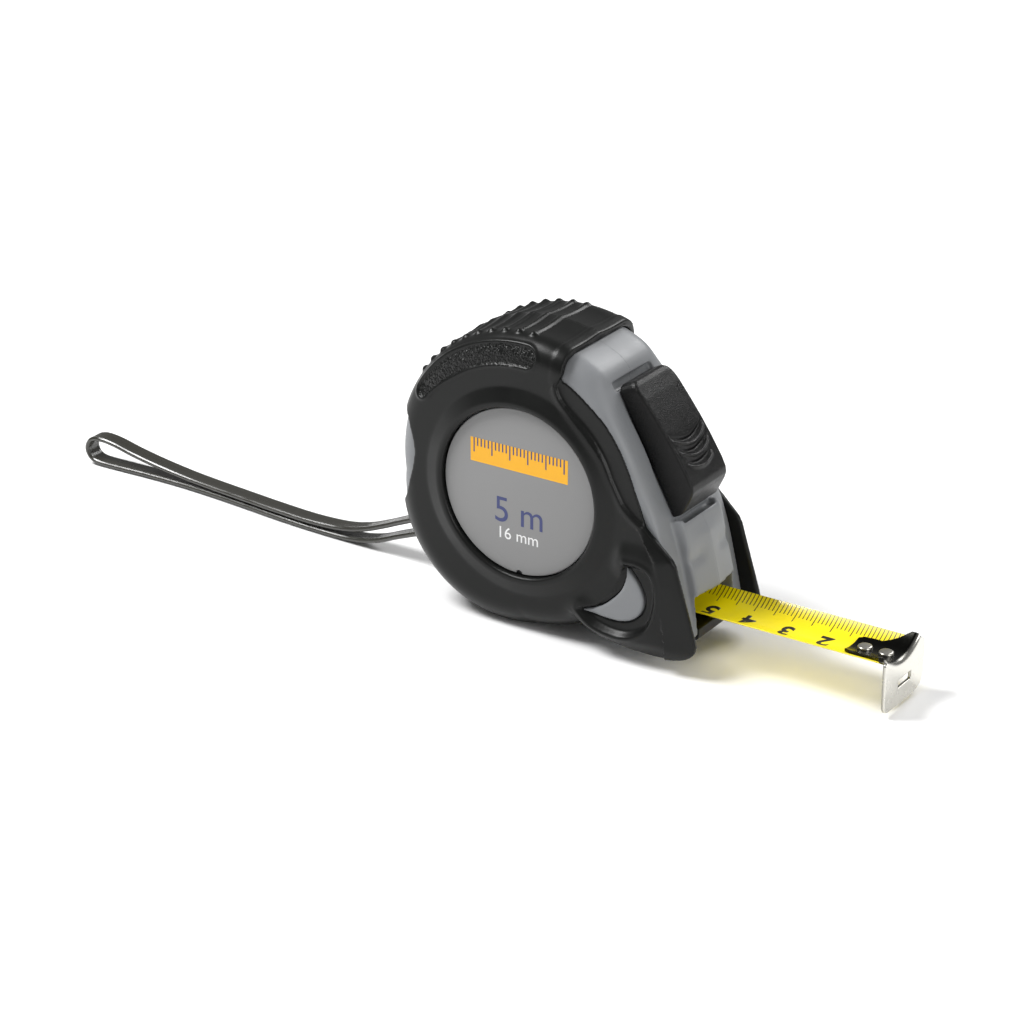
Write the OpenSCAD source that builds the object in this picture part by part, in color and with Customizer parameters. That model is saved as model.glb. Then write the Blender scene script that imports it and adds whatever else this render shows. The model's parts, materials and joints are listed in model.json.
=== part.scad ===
// Pocket tape measure with a sliding lock, a concave 16 mm blade and a wrist strap.
// Frame: X forward along the blade, -Y towards the label side, Z up, floor at Z = 0.

/* [Case] */
// Radius of the round shell of the case
case_r = 35.6; // [35.4:0.1:35.8]
// Height of the spool axis above the floor
axis_z = 38; // [37.8:0.1:38.2]
// Half width of the shell at its flat sides
case_half_w = 15; // [14.8:0.1:15.2]
// Wall thickness of the shell's flat sides
side_wall = 2; // [1.6:0.1:2.2]
// Thickness of the rubber overmould
grip_t = 1.2; // [1:0.1:1.4]
// Half width at the ring round the label and at the front cheeks
ring_half_w = 17.2; // [17:0.1:17.6]
// Number of cross ribs on the top of the grip
rib_count = 10; // [6:1:12]

/* [Label] */
// Radius of the label disc
label_r = 20.9; // [20:0.1:21]
// Height of the label's centre above the floor
label_z = 36; // [35.5:0.5:36.5]

/* [Blade] */
// Width of the blade
blade_w = 15.7; // [15.5:0.1:15.9]
// Thickness of the blade, paint included
blade_t = 0.2; // [0.14:0.02:0.24]
// Radius of the blade's concave cross-section
blade_curve_r = 12.6; // [12.5:0.1:12.8]
// Height of the blade's lowest line above the floor
blade_z = 10.9; // [10.8:0.1:11]
// Inner face of the hook when the blade stands out for a reading
hook_x = 92.5; // [90:0.5:95]
// End play of the hook, the thickness of its plate
hook_play = 0.9; // [0.8:0.1:1]

/* [Lock] */
// Lean of the front slope that the lock slides on
lock_lean = 28.5; // [28:0.5:29]
// Travel of the lock from locked to free
lock_travel = 5; // [3:0.5:5]
// Half width of the lock button
lock_half_w = 8; // [7.8:0.1:8.1]

/* [Spool] */
// Outer radius of the spool's flanges
flange_r = 25.6; // [25:0.1:25.8]
// Outer radius of the wound blade
coil_r = 24.1; // [23.5:0.1:24.2]
// Outer radius of the drum
drum_r = 18.8; // [18:0.1:19]
// Turns of the return spring
spring_turns = 7; // [5:1:8]

/* [Strap] */
// Width of the wrist strap
strap_w = 5; // [4:0.5:5.5]
// Thickness of the wrist strap
strap_t = 1.3; // [1:0.1:1.4]

/* [Hidden] */
$fn = 96;

// Colours
abs_grey = "#8b8c8d";
rubber_black = "#2d2e2d";
satin_black = "#242424";
blade_yellow = "#f5e400";
steel = "#c9ccd0";
spring_blue = "#6f7a86";
acetal_white = "#e6e4dc";

// Shell and skin rounds: the main round on the spool axis and a fuller rear bottom corner
corner_x = -6;
corner_z = 30.2;
corner_r = 29.4;
skin_r = case_r + grip_t;
skin_half_w = case_half_w + grip_t;
shell_edge_r = 4.8;
skin_gap = 0.02;
skin_edge_r = 6;
chamber_r = case_r - 2.4;
chamber_half_w = case_half_w - side_wall;
big = 200;

// Front chord of the shell, as a plane at a distance from the spool axis
chord_lean = 34.6;
chord_d = 31.9;
chord_wall = 2.2;

// Lock: distances from the spool axis to the faces that it slides on
slope_d = 31.2;
lock_base_d = slope_d + 0.3;
slot_inner_d = 29.2;
lock_top_s = -13;
lock_end_s = 20;
stem_s = 7;
stem_len = 4;

// Nose
nose_half_w = 14.2;
mouth_half_w = 8.5;
mouth_top_z = 16.6;
lip_x = 44.2;
lip_z = 16.6;

// Blade
blade_tail_x = 27.5;
blade_end_x = hook_x - hook_play - 0.1;
curve_z = blade_z + blade_curve_r;
rivet_x = [83.5, 88.9];
rivet_r = 0.9;
tang_t = 0.8;
hook_mid = 0.9;

// Centre post
post_r = 3.5;

// Strap bar
pin_x = -26.6;
pin_z = 14;
pin_r = 1.2;
strap_slot_half_w = 3;

// Screws: places on the X-Z plane
screw_spots = [[-21.5, 58.5], [-28.6, 29.5], [32.5, 6.8], [37.8, 22.4]];
screw_r = 1.3;
screw_hole_r = 1.6;
screw_head_r = 2.4;
screw_head_t = 1.4;
screw_head_y = 13;
boss_r = 3.3;
clip_screw_z = 65.5;
clip_screw_r = 1.3;
clip_head_r = 2;

// Front line of the shell seen from the side
nose_outline = [
    [8, 60], [20.5, 64.8], [39.9, 36.4], [lip_x, lip_z], [44.6, 6.7], [43, 5.3],
    [34, 4.4], [24, 5.4], [15, 7.6], [8, 9]
];
// Cheek of the rubber, which stands out past the shell
cheek_outline = [
    [10, 66.5], [17.7, 62.2], [23.4, 57.6], [28.2, 50.4], [31.8, 41.7], [33.7, 35.3],
    [41.4, 28.4], [47, 9.6], [48, 8], [47.2, 6], [45.4, 4.4], [43, 3.4], [38, 2.8], [31.5, 3.2],
    [24, 4.9], [17.5, 7.2], [13.5, 6.6], [9, 3.6], [4, 1], [-6, 30]
];

// Turns a drawing on the X-Z plane into a plate from y = -h1 to y = -h0
module plate(h0, h1) {
    rotate([90, 0, 0]) translate([0, 0, h0]) linear_extrude(h1 - h0) children();
}

// Places a solid of revolution so that its axis is along Y and it grows towards -Y
module spool_frame(x = 0, z = axis_z) {
    translate([x, 0, z]) rotate([90, 0, 0]) children();
}

// Half of a round body with a rounded outer edge
module round_half(r, half_w, edge_r) {
    rotate_extrude() {
        square([r - edge_r, half_w]);
        square([r, half_w - edge_r]);
        translate([r - edge_r, half_w - edge_r]) circle(edge_r);
    }
}

// The space in front of a sloping plane at distance d from the spool axis
module beyond(lean, d) {
    translate([0, 0, axis_z]) rotate([0, -lean, 0])
        translate([d, -big / 2, -big / 2]) cube([big, big, big]);
}

// A point on the lock's slope: s down along the slope, n out from the spool axis
function slope(s, n) = [
    n * cos(lock_lean) + s * sin(lock_lean),
    axis_z + n * sin(lock_lean) - s * cos(lock_lean)
];

// Outside of one half, grown by a gap where it shapes the rubber's inside
module shell_half(gap = 0) {
    difference() {
        union() {
            spool_frame() round_half(case_r + gap, case_half_w + gap, shell_edge_r);
            spool_frame(corner_x, corner_z)
                round_half(corner_r + gap, case_half_w + gap, shell_edge_r);
            plate(0, nose_half_w + gap) offset(delta = gap) polygon(nose_outline);
            plate(0, case_half_w + gap) offset(delta = gap)
                polygon([[10, 60], [24, 52], [32, 34], [33, 20], [32, 8], [16, 9]]);
        }
        beyond(chord_lean, chord_d + gap);
    }
}

// The hollow of one half: spool chamber, lock bay, nose and mouth
module shell_hollow() {
    difference() {
        translate([0, 0.01, 0]) spool_frame() cylinder(r = chamber_r, h = chamber_half_w + 0.01);
        beyond(lock_lean, slot_inner_d);
        beyond(chord_lean, chord_d - chord_wall);
    }
    plate(-0.01, 12.2) polygon([
        slope(-8, 29), slope(21, 29), [38.2, 31], [41.2, 18.8], [36.5, 18.8], [36.5, 9.1],
        [34, 9.1], [28, 9.1], [14, 11.6], [10, 25]
    ]);
    // mouth
    plate(-0.01, mouth_half_w) polygon([[36, 9.4], [46, 9.4], [46, mouth_top_z], [36, mouth_top_z]]);
    // seat of the bumper
    plate(-0.01, mouth_half_w) polygon([[38.4, 4], [46, 4], [46, 9.8], [38.4, 9.8]]);
    plate(-0.01, 9.7) polygon([[39.9, 6.9], [42.1, 6.9], [42.1, 9.1], [39.9, 9.1]]);
}

module lock_cuts() {
    plate(-0.01, lock_half_w + 0.5) polygon([
        slope(lock_top_s - lock_travel - 4, slope_d), slope(lock_end_s + 0.6, slope_d),
        slope(lock_end_s + 0.6, 45), slope(lock_top_s - lock_travel - 4, 45)
    ]);
    slot_top = stem_s - lock_travel - 0.3;
    slot_end = stem_s + stem_len + 0.4;
    plate(-0.01, 2.3) polygon([
        slope(slot_top, 25), slope(slot_end, 25), slope(slot_end, 35), slope(slot_top, 35)
    ]);
}

module strap_cut() {
    // slot that the strap leaves through, open to the rear
    plate(-0.01, strap_slot_half_w) polygon([
        [-50, pin_z - 4.4], [pin_x + 1.6, pin_z - 3.5], [pin_x + 3.4, pin_z],
        [pin_x + 1.6, pin_z + 3.5], [-50, pin_z + 4.4]
    ]);
}

module crescent(gap = 0) {
    difference() {
        translate([26, 16.6]) circle(8.8 - gap);
        translate([0, label_z]) circle(33.4 + gap);
    }
}

// Shell half on the label side
module case_half() {
    difference() {
        union() {
            difference() {
                shell_half();
                shell_hollow();
            }
            // bosses for the case screws
            for (p = screw_spots) translate([p[0], 0, p[1]]) rotate([90, 0, 0])
                cylinder(r = boss_r, h = chamber_half_w + 0.5);
            // collar that centres the post
            spool_frame() translate([0, 0, 9.6]) cylinder(r = 6, h = chamber_half_w - 9.1);
            // island in the crescent window
            intersection() {
                plate(nose_half_w - 1, ring_half_w - 0.5) crescent(skin_gap);
                plate(0, ring_half_w) translate([26, 16.6]) circle(9);
            }
        }
        lock_cuts();
        strap_cut();
        // seats of the post and of the strap pin
        spool_frame() translate([0, 0, 8]) cylinder(r = post_r + 0.02, h = 5.2);
        translate([pin_x, 0.01, pin_z]) rotate([90, 0, 0]) cylinder(r = pin_r, h = 6.01);
        // recess of the label disc
        translate([0, 0, label_z]) rotate([90, 0, 0])
            translate([0, 0, case_half_w - 0.6]) cylinder(r = label_r + 0.05, h = 3);
        floor_cut();
    }
}

module floor_cut() {
    translate([-big / 2, -big / 2, -big]) cube([big, big, big]);
}

module case_left() {
    color(abs_grey) difference() {
        case_half();
        for (p = screw_spots) translate([p[0], 0.01, p[1]]) rotate([90, 0, 0])
            cylinder(r = screw_r, h = 10.01);
    }
}

module case_right() {
    color(abs_grey) difference() {
        union() {
            mirror([0, 1, 0]) case_half();
            // boss of the clip's screw
            translate([0, 9.6, clip_screw_z]) rotate([-90, 0, 0]) cylinder(r = 2.6, h = 4);
        }
        for (p = screw_spots) translate([p[0], 0, p[1]]) rotate([-90, 0, 0]) {
            translate([0, 0, -0.01]) cylinder(r = screw_hole_r, h = 20);
            translate([0, 0, screw_head_y]) cylinder(r = screw_head_r + 0.1, h = 10);
        }
        translate([0, 9, clip_screw_z]) rotate([-90, 0, 0]) cylinder(r = clip_screw_r, h = 10);
    }
}

// Space that the rubber covers on the rim: all that is behind the collar
module rear_region() {
    plate(-0.01, ring_half_w + 1)
        polygon([[9.9, 80], [6, 60], [6, 6], [10, 4], [10, -2], [-60, -2], [-60, 80]]);
}

module ring_half() {
    spool_frame(0, label_z) rotate_extrude() polygon([
        [label_r + 0.3, case_half_w - 0.5], [label_r + 0.3, ring_half_w], [23.6, ring_half_w],
        [26.4, skin_half_w], [26.4, case_half_w - 0.5]
    ]);
}

module rubber_half() {
    difference() {
        union() {
            intersection() {
                union() {
                    spool_frame() round_half(skin_r, skin_half_w, skin_edge_r);
                    spool_frame(corner_x, corner_z)
                        round_half(corner_r + grip_t, skin_half_w, skin_edge_r);
                    // flat base
                    plate(0, 10) polygon([[-6, 0], [5, 0], [9, 3.6], [7, 6], [-6, 4]]);
                }
                rear_region();
            }
            // smooth side panel and front cheek
            plate(nose_half_w, skin_half_w) polygon(cheek_outline);
            plate(nose_half_w, ring_half_w) polygon([
                [31, 38], [33.7, 35.3], [41.4, 28.4], [47, 9.6], [48, 8], [47.2, 6],
                [45.4, 4.4], [43, 3.4], [38, 2.8], [31.5, 3.2], [24, 4.9], [17.5, 7.2],
                [20, 16], [24, 26], [27, 34]
            ]);
            ring_half();
            // cross ribs on the top
            for (i = [0 : rib_count - 1])
                translate([0, 0, axis_z]) rotate([0, -88.5 - 6.2 * i, 0])
                    translate([skin_r - 0.5, -12, -1]) cube([1.1, 12, 2]);
        }
        shell_half(skin_gap);
        // label, crescent window, rear window, strap slot and floor
        spool_frame(0, label_z) translate([0, 0, 10]) cylinder(r = label_r + 0.3, h = 10);
        intersection() {
            plate(nose_half_w - 1, ring_half_w + 1) crescent();
            plate(0, ring_half_w + 1) translate([26, 16.6]) circle(9);
        }
        plate(-0.01, 13.8) polygon([[-60, 26.4], [-24, 26.4], [-24, 47.6], [-60, 47.6]]);
        strap_cut();
        floor_cut();
    }
}

module grip_left() {
    color(rubber_black) rubber_half();
}

module grip_right() {
    color(rubber_black) difference() {
        mirror([0, 1, 0]) rubber_half();
        for (p = screw_spots) translate([p[0], 12, p[1]]) rotate([-90, 0, 0])
            cylinder(r = screw_head_r + 0.4, h = 10);
        translate([0, 12, clip_screw_z]) rotate([-90, 0, 0])
            cylinder(r = clip_screw_r + 0.2, h = 10);
    }
}

module label_disc() {
    difference() {
        spool_frame(0, label_z) translate([0, 0, case_half_w - 0.6]) cylinder(r = label_r, h = 1.8);
        spool_frame(0, label_z - label_r) translate([0, 0, 10]) cylinder(r = 0.9, h = 10);
    }
}

module label_left() {
    color(abs_grey) label_disc();
}

module label_right() {
    color(abs_grey) mirror([0, 1, 0]) label_disc();
}

module lock_button() {
    color(satin_black) union() {
        plate(-lock_half_w, lock_half_w) polygon([
            slope(lock_top_s, lock_base_d), slope(lock_top_s, 35), slope(-12.2, 36.1),
            slope(-3, 38.1), slope(6.1, 39.3), slope(14.4, 39.7), slope(16.5, 38.8),
            slope(lock_end_s, 34), slope(lock_end_s, lock_base_d)
        ]);
        // stem through the slot in the shell
        plate(-2, 2) polygon([
            slope(stem_s, lock_base_d), slope(stem_s + stem_len, lock_base_d),
            slope(stem_s + stem_len, 27.6), slope(stem_s, 27.6)
        ]);
    }
}

module lock_arm() {
    color(satin_black) difference() {
        plate(-3.5, 3.5) polygon([
            slope(3, 27.2), slope(3, 28.9), slope(20, 28.9), [34.4, 26], [32.4, 14.4],
            [31.8, blade_z + 0.7], [27.4, blade_z + 0.7], [27.4, 13.6], [30.2, 15.8],
            [32, 27], slope(19.4, 27.2)
        ]);
        plate(-2.05, 2.05) polygon([
            slope(stem_s - 0.05, 30), slope(stem_s + stem_len + 0.05, 30),
            slope(stem_s + stem_len + 0.05, 26), slope(stem_s - 0.05, 26)
        ]);
    }
}

module centre_post() {
    color(steel) difference() {
        spool_frame() translate([0, 0, -13.1]) cylinder(r = post_r, h = 26.2);
        translate([-2.6, -7.5, axis_z - 0.6]) cube([8, 15, 1.2]);
    }
}

module spool_drum() {
    color(acetal_white) spool_frame() difference() {
        union() {
            translate([0, 0, 8.3]) cylinder(r = flange_r, h = 0.8);
            translate([0, 0, -8.2]) cylinder(r = drum_r, h = 16.6);
        }
        translate([0, 0, -9]) cylinder(r = drum_r - 1, h = 17.3);
        translate([0, 0, -10]) cylinder(r = post_r + 0.06, h = 20);
    }
}

module spool_lid() {
    color(acetal_white) spool_frame() difference() {
        union() {
            translate([0, 0, -9]) cylinder(r = flange_r, h = 0.8);
            translate([0, 0, -8.3]) cylinder(r = drum_r - 1.05, h = 0.9);
        }
        translate([0, 0, -8.2]) cylinder(r = drum_r - 2, h = 2);
        translate([0, 0, -10]) cylinder(r = post_r + 0.06, h = 20);
    }
}

// Flat spiral: turns outwards from the post to the drum, as a band of constant thickness
module mainspring() {
    inner_r = 4.3;
    outer_r = drum_r - 1.5;
    band = 0.4;
    steps = 22;
    turn_pitch = (outer_r - inner_r) / spring_turns;
    count = spring_turns * steps;
    function along(i, r0) = let (a = 360 * i / steps, r = r0 + turn_pitch * i / steps)
        [r * cos(a), r * sin(a)];
    // the straight tab at the start sits in the slot of the post
    color(spring_blue) spool_frame() translate([0, 0, -7]) linear_extrude(14) polygon(concat(
        [[-2, band / 2], [-2, -band / 2], [inner_r + band, -band / 2]],
        [for (i = [0 : count]) along(i, inner_r + band)],
        [for (i = [count : -1 : 1]) along(i, inner_r)],
        [[inner_r, band / 2]]
    ));
}

module tape_coil() {
    color(blade_yellow) spool_frame() translate([0, 0, -7.9]) difference() {
        cylinder(r = coil_r, h = 15.8);
        translate([0, 0, -1]) cylinder(r = drum_r + 0.05, h = 18);
    }
}

// Short stretch that leaves the coil and dips to the straight blade
module tape_lead() {
    top = axis_z - coil_r - 0.15;
    color(blade_yellow) plate(-7.8, 7.8) polygon([
        [0, top], [10, top - 0.5], [20, blade_z + 0.6], [blade_tail_x - 0.1, blade_z],
        [blade_tail_x - 0.1, blade_z - blade_t], [20, blade_z + 0.6 - blade_t],
        [10, top - 0.5 - blade_t], [0, top - blade_t]
    ]);
}

// Extrudes a drawing on the Y-Z plane from x0 to x1
module beam(x0, x1) {
    translate([x0, 0, 0]) rotate([90, 0, 90]) linear_extrude(x1 - x0) children();
}

// Concave band of the blade's cross-section between two radii
module trough(r0, r1, width) {
    intersection() {
        difference() {
            translate([0, curve_z]) circle(r1);
            translate([0, curve_z]) circle(r0);
        }
        translate([-width / 2, 0]) square([width, curve_z - 2]);
    }
}

module tape_blade() {
    color(blade_yellow) difference() {
        beam(blade_tail_x, blade_end_x) trough(blade_curve_r, blade_curve_r + blade_t, blade_w);
        for (x = rivet_x) translate([x, 0, 0]) cylinder(r = rivet_r, h = 20);
    }
}

module end_hook() {
    tang_r = blade_curve_r - 0.05;
    color(steel) difference() {
        union() {
            intersection() {
                beam(79, hook_x + hook_play) trough(tang_r - tang_t, tang_r, 16.4);
                linear_extrude(30) polygon([
                    [80, -3.4], [81.4, -4.2], [86, -4.4], [88.6, -6], [91, -8], [hook_x + 1, -8.2],
                    [hook_x + 1, 8.2], [91, 8], [88.6, 6], [86, 4.4], [81.4, 4.2], [80, 3.4]
                ]);
            }
            beam(hook_x, hook_x + hook_play) difference() {
                polygon([
                    [-8.8, 2.8], [-8.2, 1.5], [-7, 1], [6.6, 1], [9.2, 2], [10.4, 4.2],
                    [10.6, 11.6], [10, 12.9], [8.6, 13.9], [-8.2, 13.9], [-8.8, 13.2]
                ]);
                intersection() {
                    translate([0, curve_z]) circle(tang_r - tang_t);
                    translate([-8.2, 0]) square([16.4, 20]);
                }
                translate([hook_mid, 1]) circle(0.65);
            }
        }
        // nail slot and the rivets' slotted holes
        translate([hook_x - 1, hook_mid - 3.15, 5.2]) cube([3, 6.3, 2]);
        for (x = rivet_x) {
            translate([x, 0, 0]) cylinder(r = rivet_r + 0.05, h = 20);
            translate([x + hook_play, 0, 0]) cylinder(r = rivet_r + 0.05, h = 20);
            translate([x, -rivet_r - 0.05, 0]) cube([hook_play, 2 * rivet_r + 0.1, 20]);
        }
    }
}

module hook_rivets() {
    color(steel) for (x = rivet_x) translate([x, 0, 0]) {
        translate([0, 0, blade_z - 0.9]) cylinder(r = 1.6, h = 0.6);
        translate([0, 0, blade_z - 0.5]) cylinder(r = rivet_r, h = 1.8);
        translate([0, 0, blade_z + 1.05]) cylinder(r = 1.75, h = 0.6);
    }
}

module mouth_bumper() {
    color(rubber_black) union() {
        plate(-8.4, 8.4) polygon([
            [38.5, 5.2], [43, 5.5], [44.7, 7], [44.7, 9.4], [38.5, 9.7]
        ]);
        plate(-9.6, 9.6) polygon([[40, 7], [42, 7], [42, 9], [40, 9]]);
    }
}

module case_screws() {
    color(steel) for (p = screw_spots) translate([p[0], 0, p[1]]) rotate([-90, 0, 0])
        difference() {
            union() {
                translate([0, 0, -9.5]) cylinder(r = screw_r - 0.02, h = 9.5 + screw_head_y);
                translate([0, 0, screw_head_y]) cylinder(r = screw_head_r, h = screw_head_t);
            }
            // cross recess
            for (size = [[0.8, 3.2, 2], [3.2, 0.8, 2]])
                translate([-size[0] / 2, -size[1] / 2, screw_head_y + 0.7]) cube(size);
        }
}

module strap_pin() {
    color(steel) translate([pin_x, 6, pin_z]) rotate([90, 0, 0]) cylinder(r = pin_r - 0.01, h = 12);
}

// Route of the wrist strap: over the bar, down to the floor, round and back under the bar
strap_route = [
    [-24.6, 0, 14.4], [-25, 0, 15.3], [-26.6, 0, 16], [-30, 0.3, 15.9], [-35, 1.2, 14.8],
    [-41, 2.4, 12.7], [-47, 3.4, 10], [-53, 4.1, 7.2], [-59, 4.5, 4.8], [-66, 4.7, 3.2],
    [-76, 4.9, 2.6], [-88, 5.8, 2.5], [-100, 7, 2.5], [-111, 8, 2.6], [-120, 8.6, 3],
    [-129, 8.8, 4], [-137, 8.7, 5.4], [-143, 8.4, 6.9], [-147.5, 8.2, 7.4], [-150.4, 8, 6.6],
    [-151.6, 7.9, 4.2], [-150.4, 7.8, 1.8], [-147.5, 7.8, 0.9], [-141, 8, 0.8], [-131, 8.4, 0.8],
    [-120, 8.4, 0.8], [-109, 7.8, 0.8], [-98, 6.8, 0.8], [-86, 5.6, 0.8], [-74, 4.9, 0.8],
    [-63, 4.6, 1.1], [-55, 4.2, 2.8], [-48, 3.5, 5.8], [-41, 2.4, 8.8], [-35, 1.2, 11],
    [-30, 0.3, 12], [-26.6, 0, 12], [-25, 0, 12.7], [-24.6, 0, 13.6]
];
strap_section = [
    [0.5, 0.25], [0.42, 0.5], [-0.42, 0.5], [-0.5, 0.25],
    [-0.5, -0.25], [-0.42, -0.5], [0.42, -0.5], [0.5, -0.25]
];

// Sweeps a flat section along points; its width stays level along Y
module flat_sweep(route, section, width, thick) {
    last = len(route) - 1;
    sides = len(section);
    function heading(i) = let (d = route[min(i + 1, last)] - route[max(i - 1, 0)]) d / norm(d);
    function facing(i) = let (n = cross(heading(i), [0, 1, 0])) n / norm(n);
    points = [
        for (i = [0 : last], q = section)
            route[i] + q[0] * width * [0, 1, 0] + q[1] * thick * facing(i)
    ];
    faces = concat(
        [[for (k = [0 : sides - 1]) k]],
        [for (i = [0 : last - 1], k = [0 : sides - 1]) let (m = (k + 1) % sides)
            [i * sides + k, (i + 1) * sides + k, (i + 1) * sides + m, i * sides + m]],
        [[for (k = [sides - 1 : -1 : 0]) last * sides + k]]
    );
    polyhedron(points, faces);
}

module wrist_strap() {
    color(rubber_black) flat_sweep(strap_route, strap_section, strap_w, strap_t);
}

module belt_clip() {
    color(steel) difference() {
        beam(-6.5, 6.5) polygon([
            [16.2, 62.6], [16.2, 68.6], [17.1, 68.6], [17.1, 63.4], [20.6, 60.4], [20.6, 19],
            [18.7, 15.5], [20.5, 11.2], [19.7, 10.8], [17.7, 15.6], [19.7, 19.4], [19.7, 60]
        ]);
        translate([0, 12, clip_screw_z]) rotate([-90, 0, 0])
            cylinder(r = clip_screw_r + 0.2, h = 10);
    }
}

module clip_screw() {
    color(steel) translate([0, 0, clip_screw_z]) rotate([-90, 0, 0]) union() {
        translate([0, 0, 9.2]) cylinder(r = clip_screw_r - 0.02, h = 8);
        translate([0, 0, 17.1]) cylinder(r = clip_head_r, h = 1.4);
    }
}

case_left();
case_right();
grip_left();
grip_right();
label_left();
label_right();
lock_button();
lock_arm();
centre_post();
spool_drum();
spool_lid();
mainspring();
tape_coil();
tape_lead();
tape_blade();
end_hook();
hook_rivets();
mouth_bumper();
case_screws();
strap_pin();
wrist_strap();
belt_clip();
clip_screw();
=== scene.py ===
"""Looks of a pocket tape measure: moulded case, rubber grip, printed blade, hook and strap.

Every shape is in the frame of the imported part: X forward along the blade, -Y towards the
label side, Z up, floor at Z = 0. Sizes are written in millimetres and turned to metres by MM.
"""

import sys
import json
import logging
import math
from dataclasses import dataclass
from enum import Enum
from typing import Callable, Iterable, Sequence

import bmesh
import bpy
import numpy as np
from mathutils import Matrix, Vector

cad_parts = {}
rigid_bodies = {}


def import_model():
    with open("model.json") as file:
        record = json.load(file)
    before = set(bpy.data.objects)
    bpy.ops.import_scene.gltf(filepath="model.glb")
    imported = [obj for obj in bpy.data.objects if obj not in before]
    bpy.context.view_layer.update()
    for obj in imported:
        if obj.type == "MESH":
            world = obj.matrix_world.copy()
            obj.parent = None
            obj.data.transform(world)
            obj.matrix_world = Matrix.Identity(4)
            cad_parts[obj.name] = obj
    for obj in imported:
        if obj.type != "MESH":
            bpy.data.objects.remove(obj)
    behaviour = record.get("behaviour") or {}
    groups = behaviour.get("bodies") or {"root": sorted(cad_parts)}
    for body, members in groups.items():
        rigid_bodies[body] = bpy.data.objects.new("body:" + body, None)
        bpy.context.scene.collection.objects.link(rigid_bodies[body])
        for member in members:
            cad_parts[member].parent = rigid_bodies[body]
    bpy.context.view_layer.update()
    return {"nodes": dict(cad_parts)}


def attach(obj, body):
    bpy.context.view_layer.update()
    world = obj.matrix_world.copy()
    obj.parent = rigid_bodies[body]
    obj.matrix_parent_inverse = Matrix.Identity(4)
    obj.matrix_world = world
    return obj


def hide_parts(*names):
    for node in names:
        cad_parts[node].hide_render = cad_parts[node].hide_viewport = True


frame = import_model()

LOG = logging.getLogger("tape_measure")
MM = 0.001
INK_T = 0.02 * MM  # thickness of a printed character
SAME_PLACE = 1e-6  # points closer than this, in metres, are one point
Point2 = tuple[float, float]
Point3 = tuple[float, float, float]


# --------------------------------------------------------------------------- small helpers


def deselect() -> None:
    """Leave nothing selected and no object in edit mode."""
    if bpy.context.object is not None and bpy.context.object.mode != "OBJECT":
        bpy.ops.object.mode_set(mode="OBJECT")
    for obj in bpy.context.scene.objects:
        obj.select_set(False)


def pick(obj: bpy.types.Object) -> None:
    """Select one object alone and make it the active one.

    Args:
        obj: The object to select.
    """
    deselect()
    obj.select_set(True)
    bpy.context.view_layer.objects.active = obj


def settle(obj: bpy.types.Object, name: str) -> bpy.types.Object:
    """Put an object's place into its mesh and name it.

    Args:
        obj: The object to settle.
        name: Its new name, which its mesh takes too.

    Returns:
        The same object, at the origin, unturned and unscaled.
    """
    pick(obj)
    bpy.ops.object.transform_apply(location=True, rotation=True, scale=True)
    obj.name = name
    obj.data.name = name
    return obj


def apply_modifier(obj: bpy.types.Object, kind: str, **settings: object) -> None:
    """Add a modifier, give it its settings and apply it.

    Args:
        obj: The object that takes the modifier.
        kind: The modifier's type, such as "BEVEL".
        **settings: The modifier's own properties.
    """
    pick(obj)
    modifier = obj.modifiers.new(kind.lower(), kind)
    for key, value in settings.items():
        setattr(modifier, key, value)
    bpy.ops.object.modifier_apply(modifier=modifier.name)


def combine(obj: bpy.types.Object, other: bpy.types.Object, how: str) -> bpy.types.Object:
    """Join, cut or intersect two solids, and delete the second.

    Args:
        obj: The solid that is kept.
        other: The solid that acts on it.
        how: "UNION", "DIFFERENCE" or "INTERSECT".

    Returns:
        The solid that is kept.
    """
    apply_modifier(obj, "BOOLEAN", object=other, operation=how, solver="EXACT")
    drop(other)
    return obj


def drop(obj: bpy.types.Object) -> None:
    """Delete an object and its mesh.

    Args:
        obj: The object to delete.
    """
    mesh = obj.data
    bpy.data.objects.remove(obj)
    bpy.data.meshes.remove(mesh)


def face_outwards() -> None:
    """Turn all faces of the mesh in edit mode outwards, and leave edit mode."""
    bpy.ops.mesh.select_all(action="SELECT")
    bpy.ops.mesh.normals_make_consistent(inside=False)
    bpy.ops.object.mode_set(mode="OBJECT")


def prism(name: str, outline: Sequence[Point2], y_low: float, y_high: float) -> bpy.types.Object:
    """Extrude an outline on the X-Z plane along Y.

    Args:
        name: Name of the new object.
        outline: Its corners as (x, z), in mm.
        y_low: Where the extrusion starts, in mm.
        y_high: Where it ends, in mm.

    Returns:
        The closed solid.
    """
    deselect()
    bpy.ops.mesh.primitive_circle_add(vertices=len(outline), radius=1, fill_type="NGON")
    obj = bpy.context.object
    for vertex, (x, z) in zip(obj.data.vertices, outline):
        vertex.co = (x * MM, y_low * MM, z * MM)
    bpy.ops.object.mode_set(mode="EDIT")
    bpy.ops.mesh.select_all(action="SELECT")
    bpy.ops.mesh.extrude_region_move(TRANSFORM_OT_translate={"value": (0, (y_high - y_low) * MM, 0)})
    face_outwards()
    return settle(obj, name)


def edit_edges(obj: bpy.types.Object, wanted: Callable[[Vector, Vector], bool]) -> None:
    """Enter edit mode with only the wanted edges selected.

    Args:
        obj: The object to edit.
        wanted: Takes an edge's two ends, in metres, and says whether to select it.
    """
    pick(obj)
    bpy.ops.object.mode_set(mode="EDIT")
    bpy.ops.mesh.select_mode(type="EDGE")
    bpy.ops.mesh.select_all(action="DESELECT")
    mesh = bmesh.from_edit_mesh(obj.data)
    for edge in mesh.edges:
        edge.select_set(wanted(edge.verts[0].co, edge.verts[1].co))
    bmesh.update_edit_mesh(obj.data)


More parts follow.
